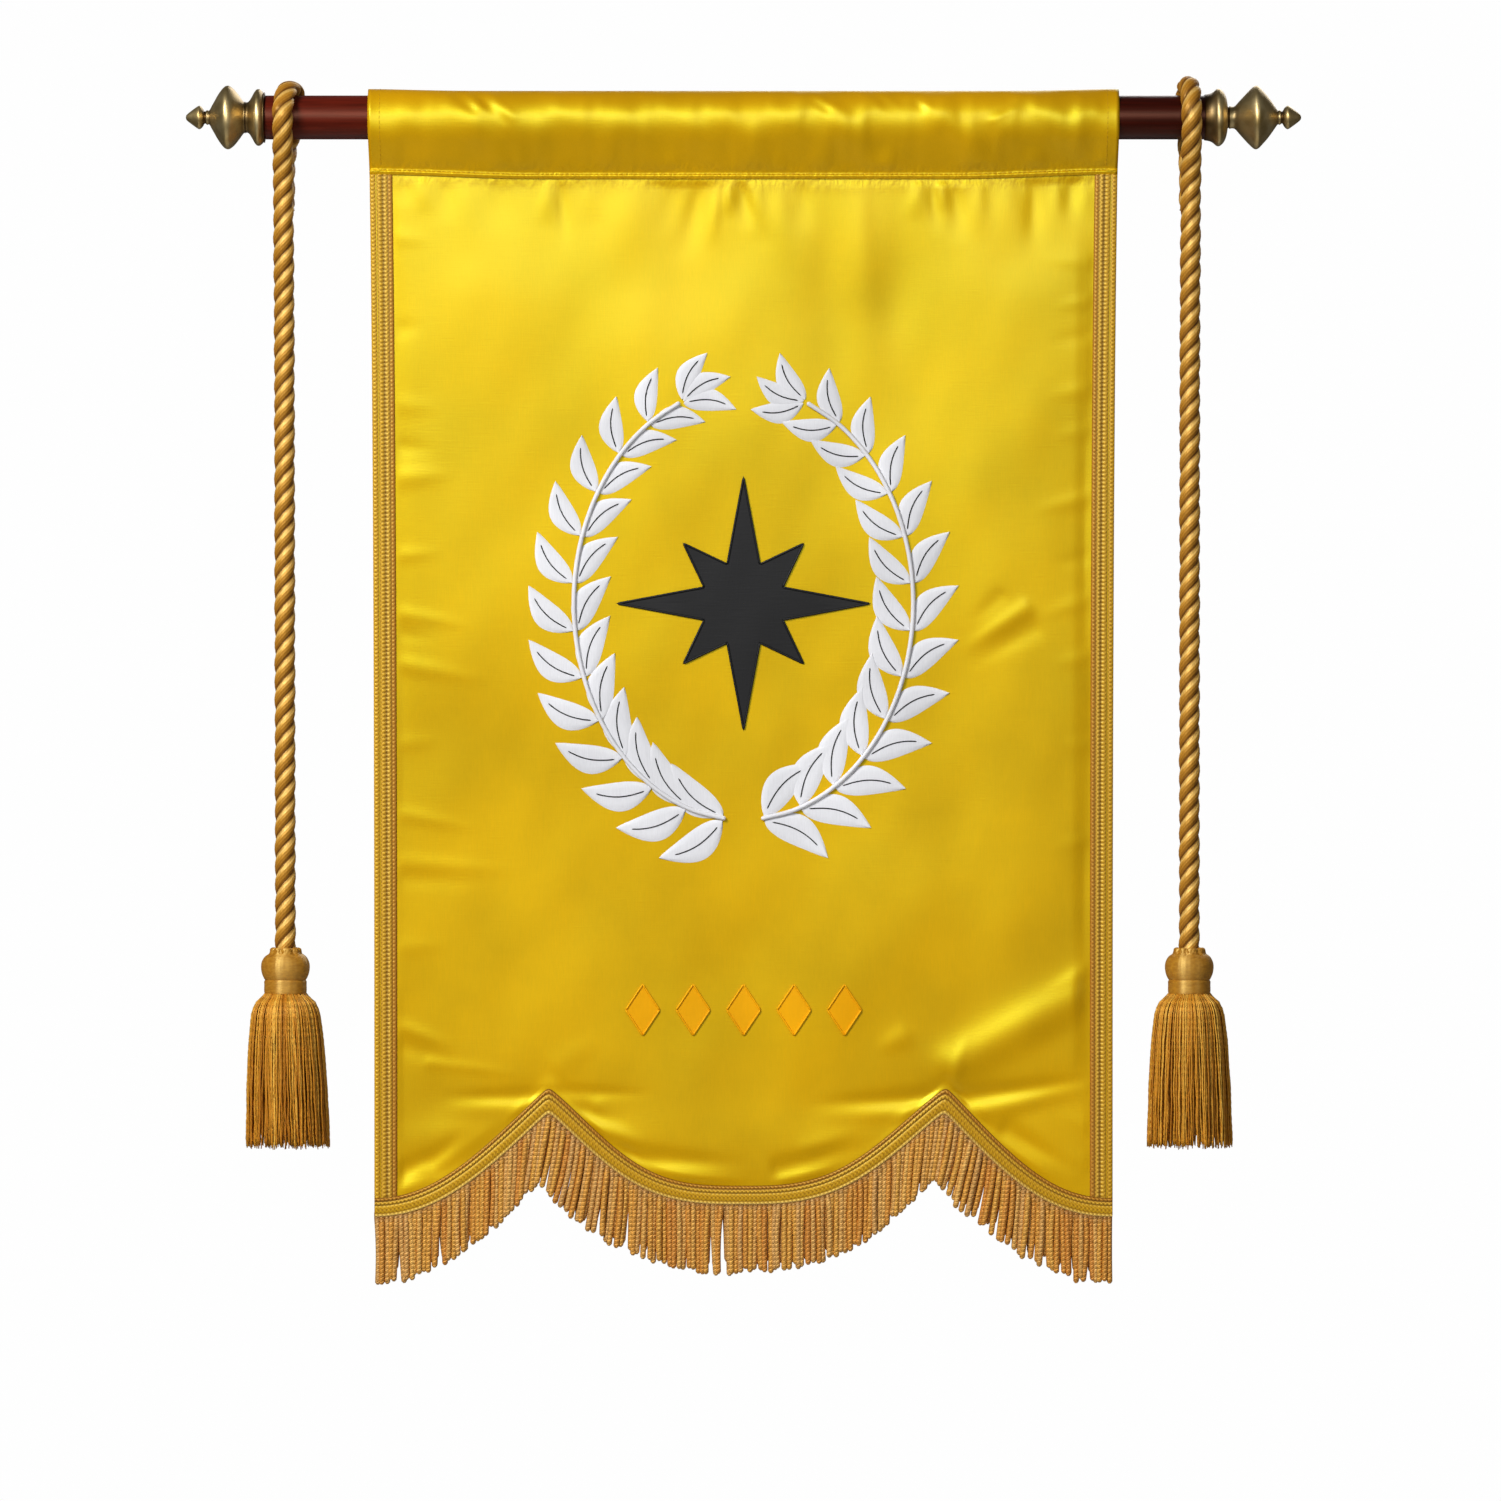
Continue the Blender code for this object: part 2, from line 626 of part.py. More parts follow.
def main():
    clear_scene()
    banner = new_collection("Lodge banner")
    helpers = new_collection("Cutters")
    satin = new_material("satin", (0.70, 0.47, 0.01), 0.35)
    braid = new_material("braid", (0.52, 0.30, 0.03), 0.55)
    bullion = new_material("bullion", (0.44, 0.20, 0.05), 0.55)
    silk = new_material("silk", (0.60, 0.34, 0.07), 0.6)
    brass = new_material("brass", (0.36, 0.25, 0.10), 0.35, 0.9)
    wood = new_material("wood", (0.13, 0.02, 0.01), 0.35)
    make_rod(banner, wood, brass)
    make_cloth(banner, satin)
    make_side_braid("braid_left", -1, banner, braid)
    make_side_braid("braid_right", 1, banner, braid)
    make_bottom_braid(banner, braid)
    make_fringe(banner, helpers, bullion)
    section = cord_section(helpers)
    for name, place in CORDS.items():
        make_cord(f"cord_{name}", place, section, banner, silk)
        make_tassel(f"tassel_{name}", place, banner, helpers, silk)


main()
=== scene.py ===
"""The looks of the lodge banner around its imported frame: creased satin, sewn braids,
bullion fringe, stitched appliques, plied cords, tassels, aged brass and stained wood.

Metres, in the frame's own axes: +Z up, the banner's face towards -Y.
"""

import math

import bpy
import numpy as np
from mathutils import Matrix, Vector


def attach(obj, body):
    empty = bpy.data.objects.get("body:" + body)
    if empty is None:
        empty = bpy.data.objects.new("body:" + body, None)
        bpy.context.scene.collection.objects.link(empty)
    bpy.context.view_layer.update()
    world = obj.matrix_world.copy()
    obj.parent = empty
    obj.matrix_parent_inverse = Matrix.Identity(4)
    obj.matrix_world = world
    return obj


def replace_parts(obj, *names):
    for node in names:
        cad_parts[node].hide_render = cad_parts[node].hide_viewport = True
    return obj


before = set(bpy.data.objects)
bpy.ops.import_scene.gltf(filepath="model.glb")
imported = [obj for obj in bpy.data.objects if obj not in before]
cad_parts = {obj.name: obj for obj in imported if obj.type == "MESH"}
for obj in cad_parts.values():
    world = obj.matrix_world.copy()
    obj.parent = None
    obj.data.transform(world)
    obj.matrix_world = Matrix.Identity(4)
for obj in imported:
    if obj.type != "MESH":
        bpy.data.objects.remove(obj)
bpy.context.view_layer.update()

MM = 0.001
PX = 0.8128 * MM
PHOTO_X = 743.5
PHOTO_Z = 117.5
PHOTO_SIZE = 1501
SEED = 11

# The cloth's shape, as in the frame
ROD_RADIUS = 17.8 * MM
ROD_HALF_LENGTH = 384.9 * MM
TOP_HALF_WIDTH = 304.8 * MM
HEM_HALF_WIDTH = 299.7 * MM
TAPER_HEIGHT = 280 * MM
SLEEVE_RADIUS = 18.9 * MM
LAYER_Y = 0.85 * MM
STITCH_Z = -41 * MM
LIP_Z = -47.1 * MM
CORNER_Z = -893.7 * MM
MIDDLE_Z = -883.9 * MM
NOTCH_Z = -809.0 * MM
NOTCH_XS = (-158.2 * MM, 163.3 * MM)
# Each flank of the scallops: its low point, its notch, and the power and turn of its curve
FLANKS = (
    (-HEM_HALF_WIDTH, CORNER_Z, NOTCH_XS[0], 1.06, 1.73),
    (0.0, MIDDLE_Z, NOTCH_XS[0], 1.56, 2.12),
    (0.0, MIDDLE_Z, NOTCH_XS[1], 1.45, 2.12),
    (HEM_HALF_WIDTH, CORNER_Z, NOTCH_XS[1], 1.13, 1.73),
)
PAST_NOTCH = 1.12
NOTCH_ROUNDING = 2.4 * MM
SIDE_BRAID_WIDTH = 18.5 * MM
BOTTOM_BRAID_WIDTH = 15.6 * MM
SWAY = 3.0 * MM
EDGE_CURL = 3.0 * MM
FOLD_FADE = 15 * MM
# The main folds in mm: x and z of both ends, half width, rise to the front
FOLDS = (
    (-244, -800, -176, -797, 20, -0.9),
    (-144, -797, -90, -806, 22, -0.9),
    (60, -806, 150, -798, 22, -0.9),
    (174, -798, 250, -796, 18, -0.9),
    (172, -769, 288, -705, 17, 4.4),
    (196, -796, 280, -746, 26, 1.9),
    (-238, -842, -210, -832, 30, 1.0),
    (-84, -834, 66, -834, 30, 1.0),
    (238, -822, 252, -842, 28, 0.9),
    (-70, -190, -45, -430, 62, 2.2),
    (95, -170, 70, -560, 60, -2.2),
    (235, -150, 250, -640, 55, 2.4),
    (-215, -150, -225, -440, 60, 2.4),
    (-160, -500, -60, -690, 60, -1.8),
    (120, -640, 60, -730, 50, 1.8),
)
# Creases at photo pixels: both ends, half width in pixels, rise in mm; each fades towards its second end
CREASES = (
    # puckers beside the left braid
    (392, 236, 430, 240, 8, 0.4), (392, 330, 424, 326, 9, -0.4), (392, 404, 440, 408, 9, 0.4),
    (392, 446, 436, 450, 8, -0.5), (392, 478, 450, 474, 10, 0.8), (392, 556, 440, 552, 7, 0.5),
    (392, 612, 470, 626, 7, 0.6), (392, 632, 436, 640, 7, -0.4), (392, 662, 484, 680, 8, 0.7),
    (392, 744, 440, 740, 8, 0.4), (392, 812, 474, 828, 7, 0.6), (398, 862, 512, 870, 8, 0.6),
    (398, 878, 484, 884, 8, -0.4), (392, 948, 450, 944, 9, 0.4), (392, 1024, 452, 1046, 7, 1.0),
    (392, 1044, 470, 1066, 8, -0.7), (430, 1062, 530, 1076, 5, 0.6),
    # puckers beside the right braid
    (1094, 262, 1040, 256, 8, 0.5), (1094, 300, 1056, 306, 7, 0.5), (1094, 334, 1050, 342, 8, -0.4),
    (1094, 388, 1048, 396, 8, 0.5), (1094, 430, 1054, 436, 8, 0.4), (1094, 496, 1036, 510, 8, 0.6),
    (1094, 556, 1054, 564, 8, -0.4), (1094, 598, 1040, 616, 8, 0.5), (1094, 656, 1054, 664, 8, 0.5),
    (1094, 748, 1060, 742, 8, 0.4), (1094, 838, 1054, 848, 8, 0.4), (1094, 966, 1046, 992, 7, 0.6),
    (1094, 1130, 1060, 1112, 8, 0.6), (1094, 1166, 1066, 1150, 8, 0.5),
    # in the open field
    (1026, 608, 964, 650, 8, 1.3), (1034, 628, 972, 664, 9, -0.8), (1000, 596, 972, 622, 7, -0.6),
    (949, 1090, 968, 1034, 6, 1.0), (904, 1036, 878, 1050, 10, 1.1), (556, 1086, 552, 1056, 5, 0.2),
    (560, 1066, 600, 1036, 12, 0.6), (541, 1097, 446, 1097, 7, -1.9), (524, 1107, 440, 1110, 9, 0.8),
    (560, 1092, 650, 1094, 6, -1.1), (562, 1106, 626, 1122, 8, -1.5), (570, 1124, 644, 1142, 9, 2.6),
    (936, 1098, 812, 1104, 8, -2.1), (934, 1112, 826, 1117, 9, 1.2), (955, 1099, 1092, 1079, 8, -2.0),
    (962, 1117, 1092, 1086, 9, 1.6), (598, 1108, 652, 1166, 9, 0.8), (628, 1156, 744, 1165, 9, -2.0),
    (640, 1174, 742, 1181, 9, 1.6), (778, 1169, 866, 1144, 9, -2.0), (782, 1186, 866, 1166, 9, 1.4),
    (806, 1150, 862, 1128, 9, 0.7), (1006, 1130, 1072, 1170, 9, -2.0), (996, 1144, 1056, 1182, 9, 1.4),
    (394, 1176, 438, 1152, 9, -2.0), (406, 1194, 446, 1174, 9, 1.3), (430, 1162, 462, 1134, 8, -1.4),
    (400, 1140, 470, 1128, 14, 0.6),
)
# Gathers under the seam at photo pixels: x, lean, reach, half width, and rise in mm
GATHERS = (
    (404, 0, 34, 6, -0.5), (423, 2, 44, 8, 0.7), (445, 0, 50, 8, -0.5), (467, 4, 90, 13, 0.7),
    (500, 0, 60, 12, -0.4), (548, -2, 50, 6, 0.8), (561, 5, 76, 5, -0.8), (590, 2, 50, 9, 0.4),
    (635, -4, 120, 26, 0.9), (674, -6, 60, 9, -0.4), (700, -16, 92, 9, -1.1), (719, -8, 74, 4, 0.9),
    (729, 0, 40, 4, 1.2), (741, 8, 56, 6, -1.1), (755, 10, 66, 8, 0.9), (779, 6, 100, 11, 0.9),
    (803, 4, 60, 8, -0.5), (829, 4, 280, 18, -0.7), (862, 2, 240, 14, 0.8), (900, -4, 300, 20, -0.7),
    (918, -2, 44, 6, 0.8), (931, 8, 60, 5, -0.9), (941, 2, 36, 4, 0.6), (954, 6, 70, 8, -1.1),
    (980, -2, 70, 8, 0.7), (1008, 4, 90, 15, 0.9), (1034, -2, 90, 7, -0.9), (1056, 2, 70, 8, 0.7),
    (1071, 0, 50, 6, -0.6), (1086, 0, 50, 6, 0.6),
)
# Creases in the sleeve's front at photo pixels: both ends, half width in pixels, rise in mm
SLEEVE_CREASES = (
    (456, 95, 476, 114, 4, -0.8), (467, 94, 486, 112, 4, 0.6), (479, 97, 504, 124, 4, -0.9),
    (490, 94, 515, 120, 5, 0.7), (496, 124, 512, 164, 7, -0.5), (512, 120, 522, 164, 7, 0.4),
    (812, 102, 830, 114, 4, -0.6), (820, 100, 838, 112, 4, 0.5), (875, 95, 892, 114, 4, -0.8),
    (885, 94, 900, 112, 4, 0.6), (912, 102, 924, 114, 4, -0.5), (920, 102, 932, 112, 4, 0.5),
    (984, 118, 1004, 106, 4, -0.5), (991, 123, 1013, 109, 4, 0.6), (904, 128, 916, 166, 7, -0.5),
    (988, 128, 998, 166, 8, -0.5), (1062, 126, 1066, 166, 8, -0.4), (598, 126, 594, 166, 10, -0.4),
    (700, 128, 706, 166, 10, 0.4), (420, 128, 424, 166, 10, 0.3), (1030, 120, 1034, 166, 8, 0.4),
)
SEAM_SAG = 3.6 * MM
# Soft waves over the whole field in mm: wavelength along x and z, phase, height
WAVES = (
    (150, 1600, 0.4, 0.35),
    (92, 1300, 2.1, 0.22),
    (420, 300, 1.0, 0.5),
    (260, -340, 4.0, 0.3),
    (64, 700, 5.2, 0.09),
    (-190, 120, 3.3, 0.12),
    (54, 230, 0.9, 0.07),
    (-78, 96, 5.1, 0.08),
    (37, -160, 2.4, 0.035),
)
# How far a crease runs on before its first end, and the shares of its length where it fades out
CREASE_START = 14 * PX
CREASE_END = 1.15
CREASE_FADE = 0.9
CREASE_NARROWING = 0.4
RELIEF_FADE = 5 * MM
GATHER_STRENGTH = 1.25
# A gather's width at the seam and at its reach, as shares of its own
GATHER_FAN = (0.6, 1.8)
# Brings share * (1 - share)**2 to one at its highest
GATHER_PEAK = 6.75
GATHER_FADE = 4 * MM


def photo_x(pixel):
    return (pixel - PHOTO_X) * PX


def photo_z(pixel):
    return (PHOTO_Z - pixel) * PX


def mix(a, b, share):
    return a + (b - a) * share


def smooth_step(value):
    value = np.clip(value, 0.0, 1.0)
    return value * value * (3 - 2 * value)


# Shapes that follow the frame's cloth

def half_width(z):
    return HEM_HALF_WIDTH + (TOP_HALF_WIDTH - HEM_HALF_WIDTH) * np.exp(np.minimum(z, 0.0) / TAPER_HEIGHT)


def above_hem(x, width):
    """The height of a line that runs a given width above the hem's lower edge, mitred at the notches."""
    x = np.asarray(x, float)
    best = np.full(np.broadcast(x, width).shape, np.inf)
    for low_x, low_z, notch_x, power, turn in FLANKS:
        share = (x - low_x) / (notch_x - low_x)
        held = np.clip(share, 0.0, PAST_NOTCH)
        climb = (NOTCH_Z - low_z) / (1 - math.cos(turn))
        slope = climb * np.sin(turn * held**power) * turn * power * held ** (power - 1) / (notch_x - low_x)
        height = low_z + climb * (1 - np.cos(turn * held**power)) + width * np.hypot(1, slope)
        mine = ((x < 0) == (notch_x < 0)) & (share < PAST_NOTCH)
        eased = -NOTCH_ROUNDING * np.logaddexp(-best / NOTCH_ROUNDING, -height / NOTCH_ROUNDING)
        best = np.where(mine, eased, best)
    return best


def from_segment(x, z, start, end):
    """Each point's distance from a segment, and its share along the segment's line."""
    along = np.subtract(end, start)
    dx, dz = x - start[0], z - start[1]
    share = (dx * along[0] + dz * along[1]) / (along @ along)
    held = np.clip(share, 0.0, 1.0)
    return np.hypot(dx - along[0] * held, dz - along[1] * held), share


def calm(x, z, fade):
    """Nought on the trimmed edges and the seam, one further in than a fade's width."""
    from_side = half_width(z) - np.abs(x) - SIDE_BRAID_WIDTH
    from_hem = z - above_hem(x, BOTTOM_BRAID_WIDTH)
    from_seam = LIP_Z - z
    return smooth_step(from_side / fade) * smooth_step(from_hem / fade) * smooth_step(from_seam / fade)


def fold_rise(x, z):
    total = np.zeros(np.shape(x))
    for x0, z0, x1, z1, width, rise in FOLDS:
        distance, _ = from_segment(x / MM, z / MM, (x0, z0), (x1, z1))
        total += rise * MM * np.exp(-((distance / width) ** 2))
    return total * calm(x, z, FOLD_FADE)


def crease_rise(x, z):
    total = np.zeros(np.shape(x))
    for x0, y0, x1, y1, width, rise in CREASES:
        ends = (photo_x(x0), photo_z(y0)), (photo_x(x1), photo_z(y1))
        distance, share = from_segment(x, z, *ends)
        length = math.dist(*ends)
        taper = smooth_step(share * length / CREASE_START + 1)
        taper *= smooth_step((CREASE_END - share) / CREASE_FADE)
        narrowed = width * PX * (CREASE_END - CREASE_NARROWING * np.clip(share, 0, 1))
        total += rise * MM * np.exp(-((distance / narrowed) ** 2)) * taper
    for wide, high, phase, rise in WAVES:
        total += rise * MM * np.sin(math.tau * (x / wide + z / high) / MM + phase)
    return total * calm(x, z, RELIEF_FADE)


def gather_rise(x, z):
    """Ridges and troughs that fan out below the seam: steep at it, and gone at their reach."""
    total = np.zeros(np.shape(x))
    below = LIP_Z - z
    for place_x, lean, reach, width, rise in GATHERS:
        share = np.clip(below / (reach * PX), 0, 1)
        off = x - photo_x(place_x) - lean * PX * share
        across = np.exp(-((off / (width * PX * mix(*GATHER_FAN, share))) ** 2))
        total += GATHER_STRENGTH * rise * MM * across * GATHER_PEAK * share * (1 - share) ** 2
    from_side = half_width(z) - np.abs(x) - SIDE_BRAID_WIDTH
    return total * smooth_step(from_side / GATHER_FADE)


def sway(x, z):
    fall = np.maximum(0.0, (STITCH_Z - z) / (STITCH_Z - CORNER_Z))
    return SWAY * np.sin(math.pi * fall) * fall - EDGE_CURL * (x / TOP_HALF_WIDTH) ** 2 * fall**2


def cloth_y(x, z):
    return LAYER_Y + sway(x, z) - fold_rise(x, z) - crease_rise(x, z) - gather_rise(x, z)


# Meshes

def mesh_object(name, points, faces, material, values=None, smooth=True):
    """A piece from points and faces that rides on the frame, with a float attribute for each value."""
    mesh = bpy.data.meshes.new(name)
    mesh.from_pydata(np.asarray(points).reshape(-1, 3).tolist(), [], faces)
    for key, value in (values or {}).items():
        data = np.asarray(value, np.float32).ravel()
        mesh.attributes.new(key, "FLOAT", "POINT").data.foreach_set("value", data)
    if smooth:
        mesh.shade_smooth()
    mesh.materials.append(material)
    obj = bpy.data.objects.new(name, mesh)
    bpy.context.scene.collection.objects.link(obj)
    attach(obj, "root")
    return obj


def grid_faces(rows, columns, start=0, closed=False, capped=False):
    """Faces of a grid, row by row; closed joins each row's ends, capped closes its two end rows."""
    index = start + np.arange(rows * columns).reshape(rows, columns)
    if closed:
        index = np.concatenate([index, index[:, :1]], 1)
    quads = np.stack([index[:-1, :-1], index[:-1, 1:], index[1:, 1:], index[1:, :-1]], -1)
    faces = quads.reshape(-1, 4).tolist()
    if capped:
        faces.append(index[0, :columns][::-1].tolist())
        faces.append(index[-1, :columns].tolist())
    return faces


class Bundle:
    """Points, faces and values of many grids that make one mesh."""

    def __init__(self):
        self.points = []
        self.faces = []
        self.values = {}
        self.count = 0

    def add(self, grid, closed=False, capped=False, flip=False, **values):
        rows, columns = grid.shape[:2]
        faces = grid_faces(rows, columns, self.count, closed, capped)
        self.faces += [face[::-1] for face in faces] if flip else faces
        self.points.append(grid.reshape(-1, 3))
        self.count += rows * columns
        for key, value in values.items():
            value = np.broadcast_to(value, (rows, columns)).ravel()
            self.values.setdefault(key, []).append(value)

    def make(self, name, slot, material):
        points = np.concatenate(self.points)
        values = {key: np.concatenate(value) for key, value in self.values.items()}
        return mesh_object(name, points, self.faces, material, values)


def catmull_rom(points, parts):
    """A smooth curve through points, with so many parts to each span."""
    points = np.asarray(points, float)
    padded = np.concatenate([[2 * points[0] - points[1]], points, [2 * points[-1] - points[-2]]])
    a, b, c, d = (padded[i:len(padded) - 3 + i, None] for i in range(4))
    t = (np.arange(parts) / parts)[None, :, None]
    curve = (2 * b + (c - a) * t + (2 * a - 5 * b + 4 * c - d) * t**2 + (3 * b - a - 3 * c + d) * t**3) / 2
    return np.concatenate([curve.reshape(-1, points.shape[1]), points[-1:]])


def even_steps(line, step):
    """Points about a step apart along a line."""
    lengths = np.concatenate([[0], np.cumsum(np.linalg.norm(np.diff(line, axis=0), axis=1))])
    at = np.linspace(0, lengths[-1], max(2, round(lengths[-1] / step) + 1))
    return np.stack([np.interp(at, lengths, line[:, axis]) for axis in range(line.shape[1])], 1)


def frames_along(line, first=(1.0, 0.0, 0.0)):
    """Two directions across a line at each of its points, carried along it without turning about it."""
    tangents = np.gradient(line, axis=0)
    tangents /= np.linalg.norm(tangents, axis=1)[:, None]
    across = np.zeros_like(line)
    current = np.asarray(first, float)
    for number, tangent in enumerate(tangents):
        current = current - tangent * (current @ tangent)
        current /= np.linalg.norm(current)
        across[number] = current
    return across, np.cross(tangents, across)


def angles_round(sides):
    return np.arange(sides)[None] * math.tau / sides


def turned(along, radius, angles):
    """A grid of points round the X axis from columns of places along it and radii."""
    return np.stack([along + 0 * angles, radius * np.cos(angles), radius * np.sin(angles)], -1)


def tube(line, radii, angles, first=(1.0, 0.0, 0.0)):
    """A grid of points round a line: a radius for each ring and angle."""
    across, along = frames_along(line, first)
    sides = across[:, None] * np.cos(angles)[..., None] + along[:, None] * np.sin(angles)[..., None]
    return line[:, None] + sides * radii[..., None]


# Materials

# How much higher the seam's puckers stand than the weave
PUCKER_RELIEF = 22.0


def linear(red, green, blue):
    """A linear colour from the eight-bit values that a screen shows."""
    values = []
    for value in (red, green, blue):
        share = value / 255
        values.append(share / 12.92 if share <= 0.04045 else ((share + 0.055) / 1.055) ** 2.4)
    return (*values, 1.0)


def screen_stops(*stops):
    """Stops of a ramp from (position, red, green, blue), in eight-bit values."""
    return [(position, linear(*colour)) for position, *colour in stops]


def new_material(name, **constants):
    material = bpy.data.materials.new(name)
    material.use_nodes = True
    shader = material.node_tree.nodes["Principled BSDF"]
    for socket, value in constants.items():
        shader.inputs[socket.replace("_", " ")].default_value = value
    return material, shader


def add_node(material, kind, inputs=None, output=0, **settings):
    """Adds a node, sets or links its inputs, and gives one of its outputs."""
    node = material.node_tree.nodes.new(kind)
    for key, value in settings.items():
        setattr(node, key, value)
    for socket, value in (inputs or {}).items():
        if isinstance(value, bpy.types.NodeSocket):
            link(material, value, node, socket)
        else:
            node.inputs[socket].default_value = value
    return node.outputs[output]


def link(material, value, shader, socket):
    material.node_tree.links.new(value, shader.inputs[socket])


def attribute(material, name):
    return add_node(material, "ShaderNodeAttribute", output="Fac", attribute_name=name)


def place(material, scale=(1, 1, 1)):
    """The point in metres, stretched by a scale."""
    point = add_node(material, "ShaderNodeTexCoord", output="Object")
    return add_node(material, "ShaderNodeMapping", {"Vector": point, "Scale": scale})


def noise(material, scale, detail=3.0, stretch=(1, 1, 1)):
    inputs = {"Vector": place(material, stretch), "Scale": scale, "Detail": detail}
    return add_node(material, "ShaderNodeTexNoise", inputs)


def ramp(material, value, stops):
    node = material.node_tree.nodes.new("ShaderNodeValToRGB")
    link(material, value, node, "Fac")
    elements = node.color_ramp.elements
    while len(elements) < len(stops):
        elements.new(0.5)
    for element, (position, colour) in zip(elements, stops):
        element.position = position
        element.color = colour
    return node.outputs["Color"]


def blend(material, factor, a, b, kind="MIX"):
    return add_node(material, "ShaderNodeMix", {0: factor, 6: a, 7: b}, 2, data_type="RGBA", blend_type=kind)


def arithmetic(material, operation, a, b=0.0):
    return add_node(material, "ShaderNodeMath", {0: a, 1: b}, operation=operation)


def scaled(material, value, low, high):
    """A value from nought to one, moved to between low and high."""
    return add_node(material, "ShaderNodeMapRange", {"Value": value, "To Min": low, "To Max": high})


def bump(material, height, strength, distance):
    inputs = {"Height": height, "Strength": strength, "Distance": distance}
    return add_node(material, "ShaderNodeBump", inputs)


def satin_material(name, colour, gloss_roughness, gloss, gloss_tint=(1.0, 1.0, 1.0, 1.0), glaze=0.0):
    """Satin: faint cloudy tone, floats of thread down the cloth and fine picks across it."""
    material, shader = new_material(
        name, IOR=1.8, Specular_IOR_Level=gloss, Specular_Tint=gloss_tint,
        Coat_Weight=glaze, Coat_Roughness=0.3,
    )
    tone = noise(material, 9.0, 4.0)
    threads = noise(material, 1500.0, 2.0, (1, 1, 0.06))
    picks = noise(material, 1100.0, 2.0, (0.05, 1, 1))
    darker = tuple(value * 0.86 for value in colour[:3]) + (1.0,)
    lighter = tuple(min(1.0, value * 1.06) for value in colour[:3]) + (1.0,)
    cloudy = ramp(material, tone, [(0.35, darker), (0.65, lighter)])
    streaks = ramp(material, threads, [(0.3, (0.93, 0.93, 0.93, 1)), (0.7, (1, 1, 1, 1))])
    link(material, blend(material, 1.0, cloudy, streaks, "MULTIPLY"), shader, "Base Color")
    roughness = scaled(material, tone, gloss_roughness - 0.05, gloss_roughness + 0.05)
    link(material, roughness, shader, "Roughness")
    crumple = noise(material, 230.0, 2.0, (1, 1, 0.45))
    puckers = arithmetic(material, "MULTIPLY", crumple, attribute(material, "pucker"))
    relief = arithmetic(material, "ADD", threads, picks)
    relief = arithmetic(material, "ADD", relief, arithmetic(material, "MULTIPLY", puckers, PUCKER_RELIEF))
    link(material, bump(material, relief, 0.25, 0.00025), shader, "Normal")
    return material


def braid_material(name, stops, bead_shade_colour):
    """Woven braid: a colour for each band across it, and painted shade in the hollows between its beads."""
    material, shader = new_material(
        name, Roughness=0.42, Specular_IOR_Level=0.9, Specular_Tint=(1.0, 0.8, 0.2, 1.0)
    )
    bands = ramp(material, attribute(material, "across"), stops)
    # Painted shade in the hollows between the beads
    bead_shaded = blend(material, attribute(material, "gap"), bands, bead_shade_colour, "MULTIPLY")
    fuzz = noise(material, 700.0, 3.0)
    speckle = ramp(material, fuzz, [(0.3, (0.8, 0.78, 0.74, 1)), (0.7, (1.06, 1.06, 1.04, 1))])
    link(material, blend(material, 1.0, bead_shaded, speckle, "MULTIPLY"), shader, "Base Color")
    link(material, bump(material, fuzz, 0.4, 0.0003), shader, "Normal")
    return material


def thread_material(name, stops, painted_shade_colour, roughness):
    """Twisted thread: a tone for each strand that also carries painted highlight and shade, painted shade in
    its grooves, and fine fibres.
    """
    material, shader = new_material(
        name, Roughness=roughness, Metallic=0.1, Specular_IOR_Level=0.8,
        Specular_Tint=(1.0, 0.78, 0.32, 1.0),
    )
    tones = ramp(material, attribute(material, "tone"), stops)
    painted_shaded = blend(material, attribute(material, "groove"), tones, painted_shade_colour)
    fibres = noise(material, 900.0, 3.0, (1, 1, 0.35))
    streaks = ramp(material, fibres, [(0.3, (0.82, 0.79, 0.74, 1)), (0.7, (1.08, 1.07, 1.05, 1))])
    link(material, blend(material, 1.0, painted_shaded, streaks, "MULTIPLY"), shader, "Base Color")
    link(material, bump(material, fibres, 0.5, 0.0004), shader, "Normal")
    return material


def wound_material(name, dark, light):
    """Thread wound round and round, so that a light draws out into an upright streak."""
    material, shader = new_material(
        name, Roughness=0.5, IOR=1.9, Specular_IOR_Level=1.0, Specular_Tint=(1.0, 0.76, 0.26, 1.0),
        Anisotropic=0.88, Anisotropic_Rotation=0.25
    )
    turns = noise(material, 700.0, 2.0, (0.3, 0.3, 1))
    link(material, ramp(material, turns, [(0.3, dark), (0.7, light)]), shader, "Base Color")
    link(material, bump(material, turns, 0.15, 0.0002), shader, "Normal")
    return material


def bullion_material(name, stops, painted_shade_colour):
    """Two plies twisted tight: a tone for each strand, with painted shade in slanting lines between the plies
    and painted highlight on their crowns.
    """
    material, shader = new_material(
        name, Roughness=0.48, Metallic=0.1, Specular_IOR_Level=0.7, Specular_Tint=(1.0, 0.82, 0.45, 1.0)
    )
    tones = ramp(material, attribute(material, "tone"), stops)
    painted_shaded = blend(material, attribute(material, "groove"), tones, painted_shade_colour)
    # Painted shade between the plies and painted highlight on their crowns, along the twist
    lines = scaled(material, arithmetic(material, "SINE", attribute(material, "twist")), 0.5, 1.0)
    plies = ramp(
        material, lines,
        [(0.08, (0.26, 0.2, 0.13, 1)), (0.5, (0.95, 0.93, 0.9, 1)), (0.9, (1.3, 1.28, 1.22, 1))],
    )
    twisted = blend(material, 1.0, painted_shaded, plies, "MULTIPLY")
    fibres = noise(material, 520.0, 3.0)
    streaks = ramp(
        material, fibres,
        [(0.32, (0.66, 0.58, 0.46, 1)), (0.5, (1.0, 0.99, 0.96, 1)), (0.68, (1.25, 1.28, 1.4, 1))],
    )
    link(material, blend(material, 1.0, twisted, streaks, "MULTIPLY"), shader, "Base Color")
    link(material, bump(material, lines, 0.9, 0.0009), shader, "Normal")
    return material


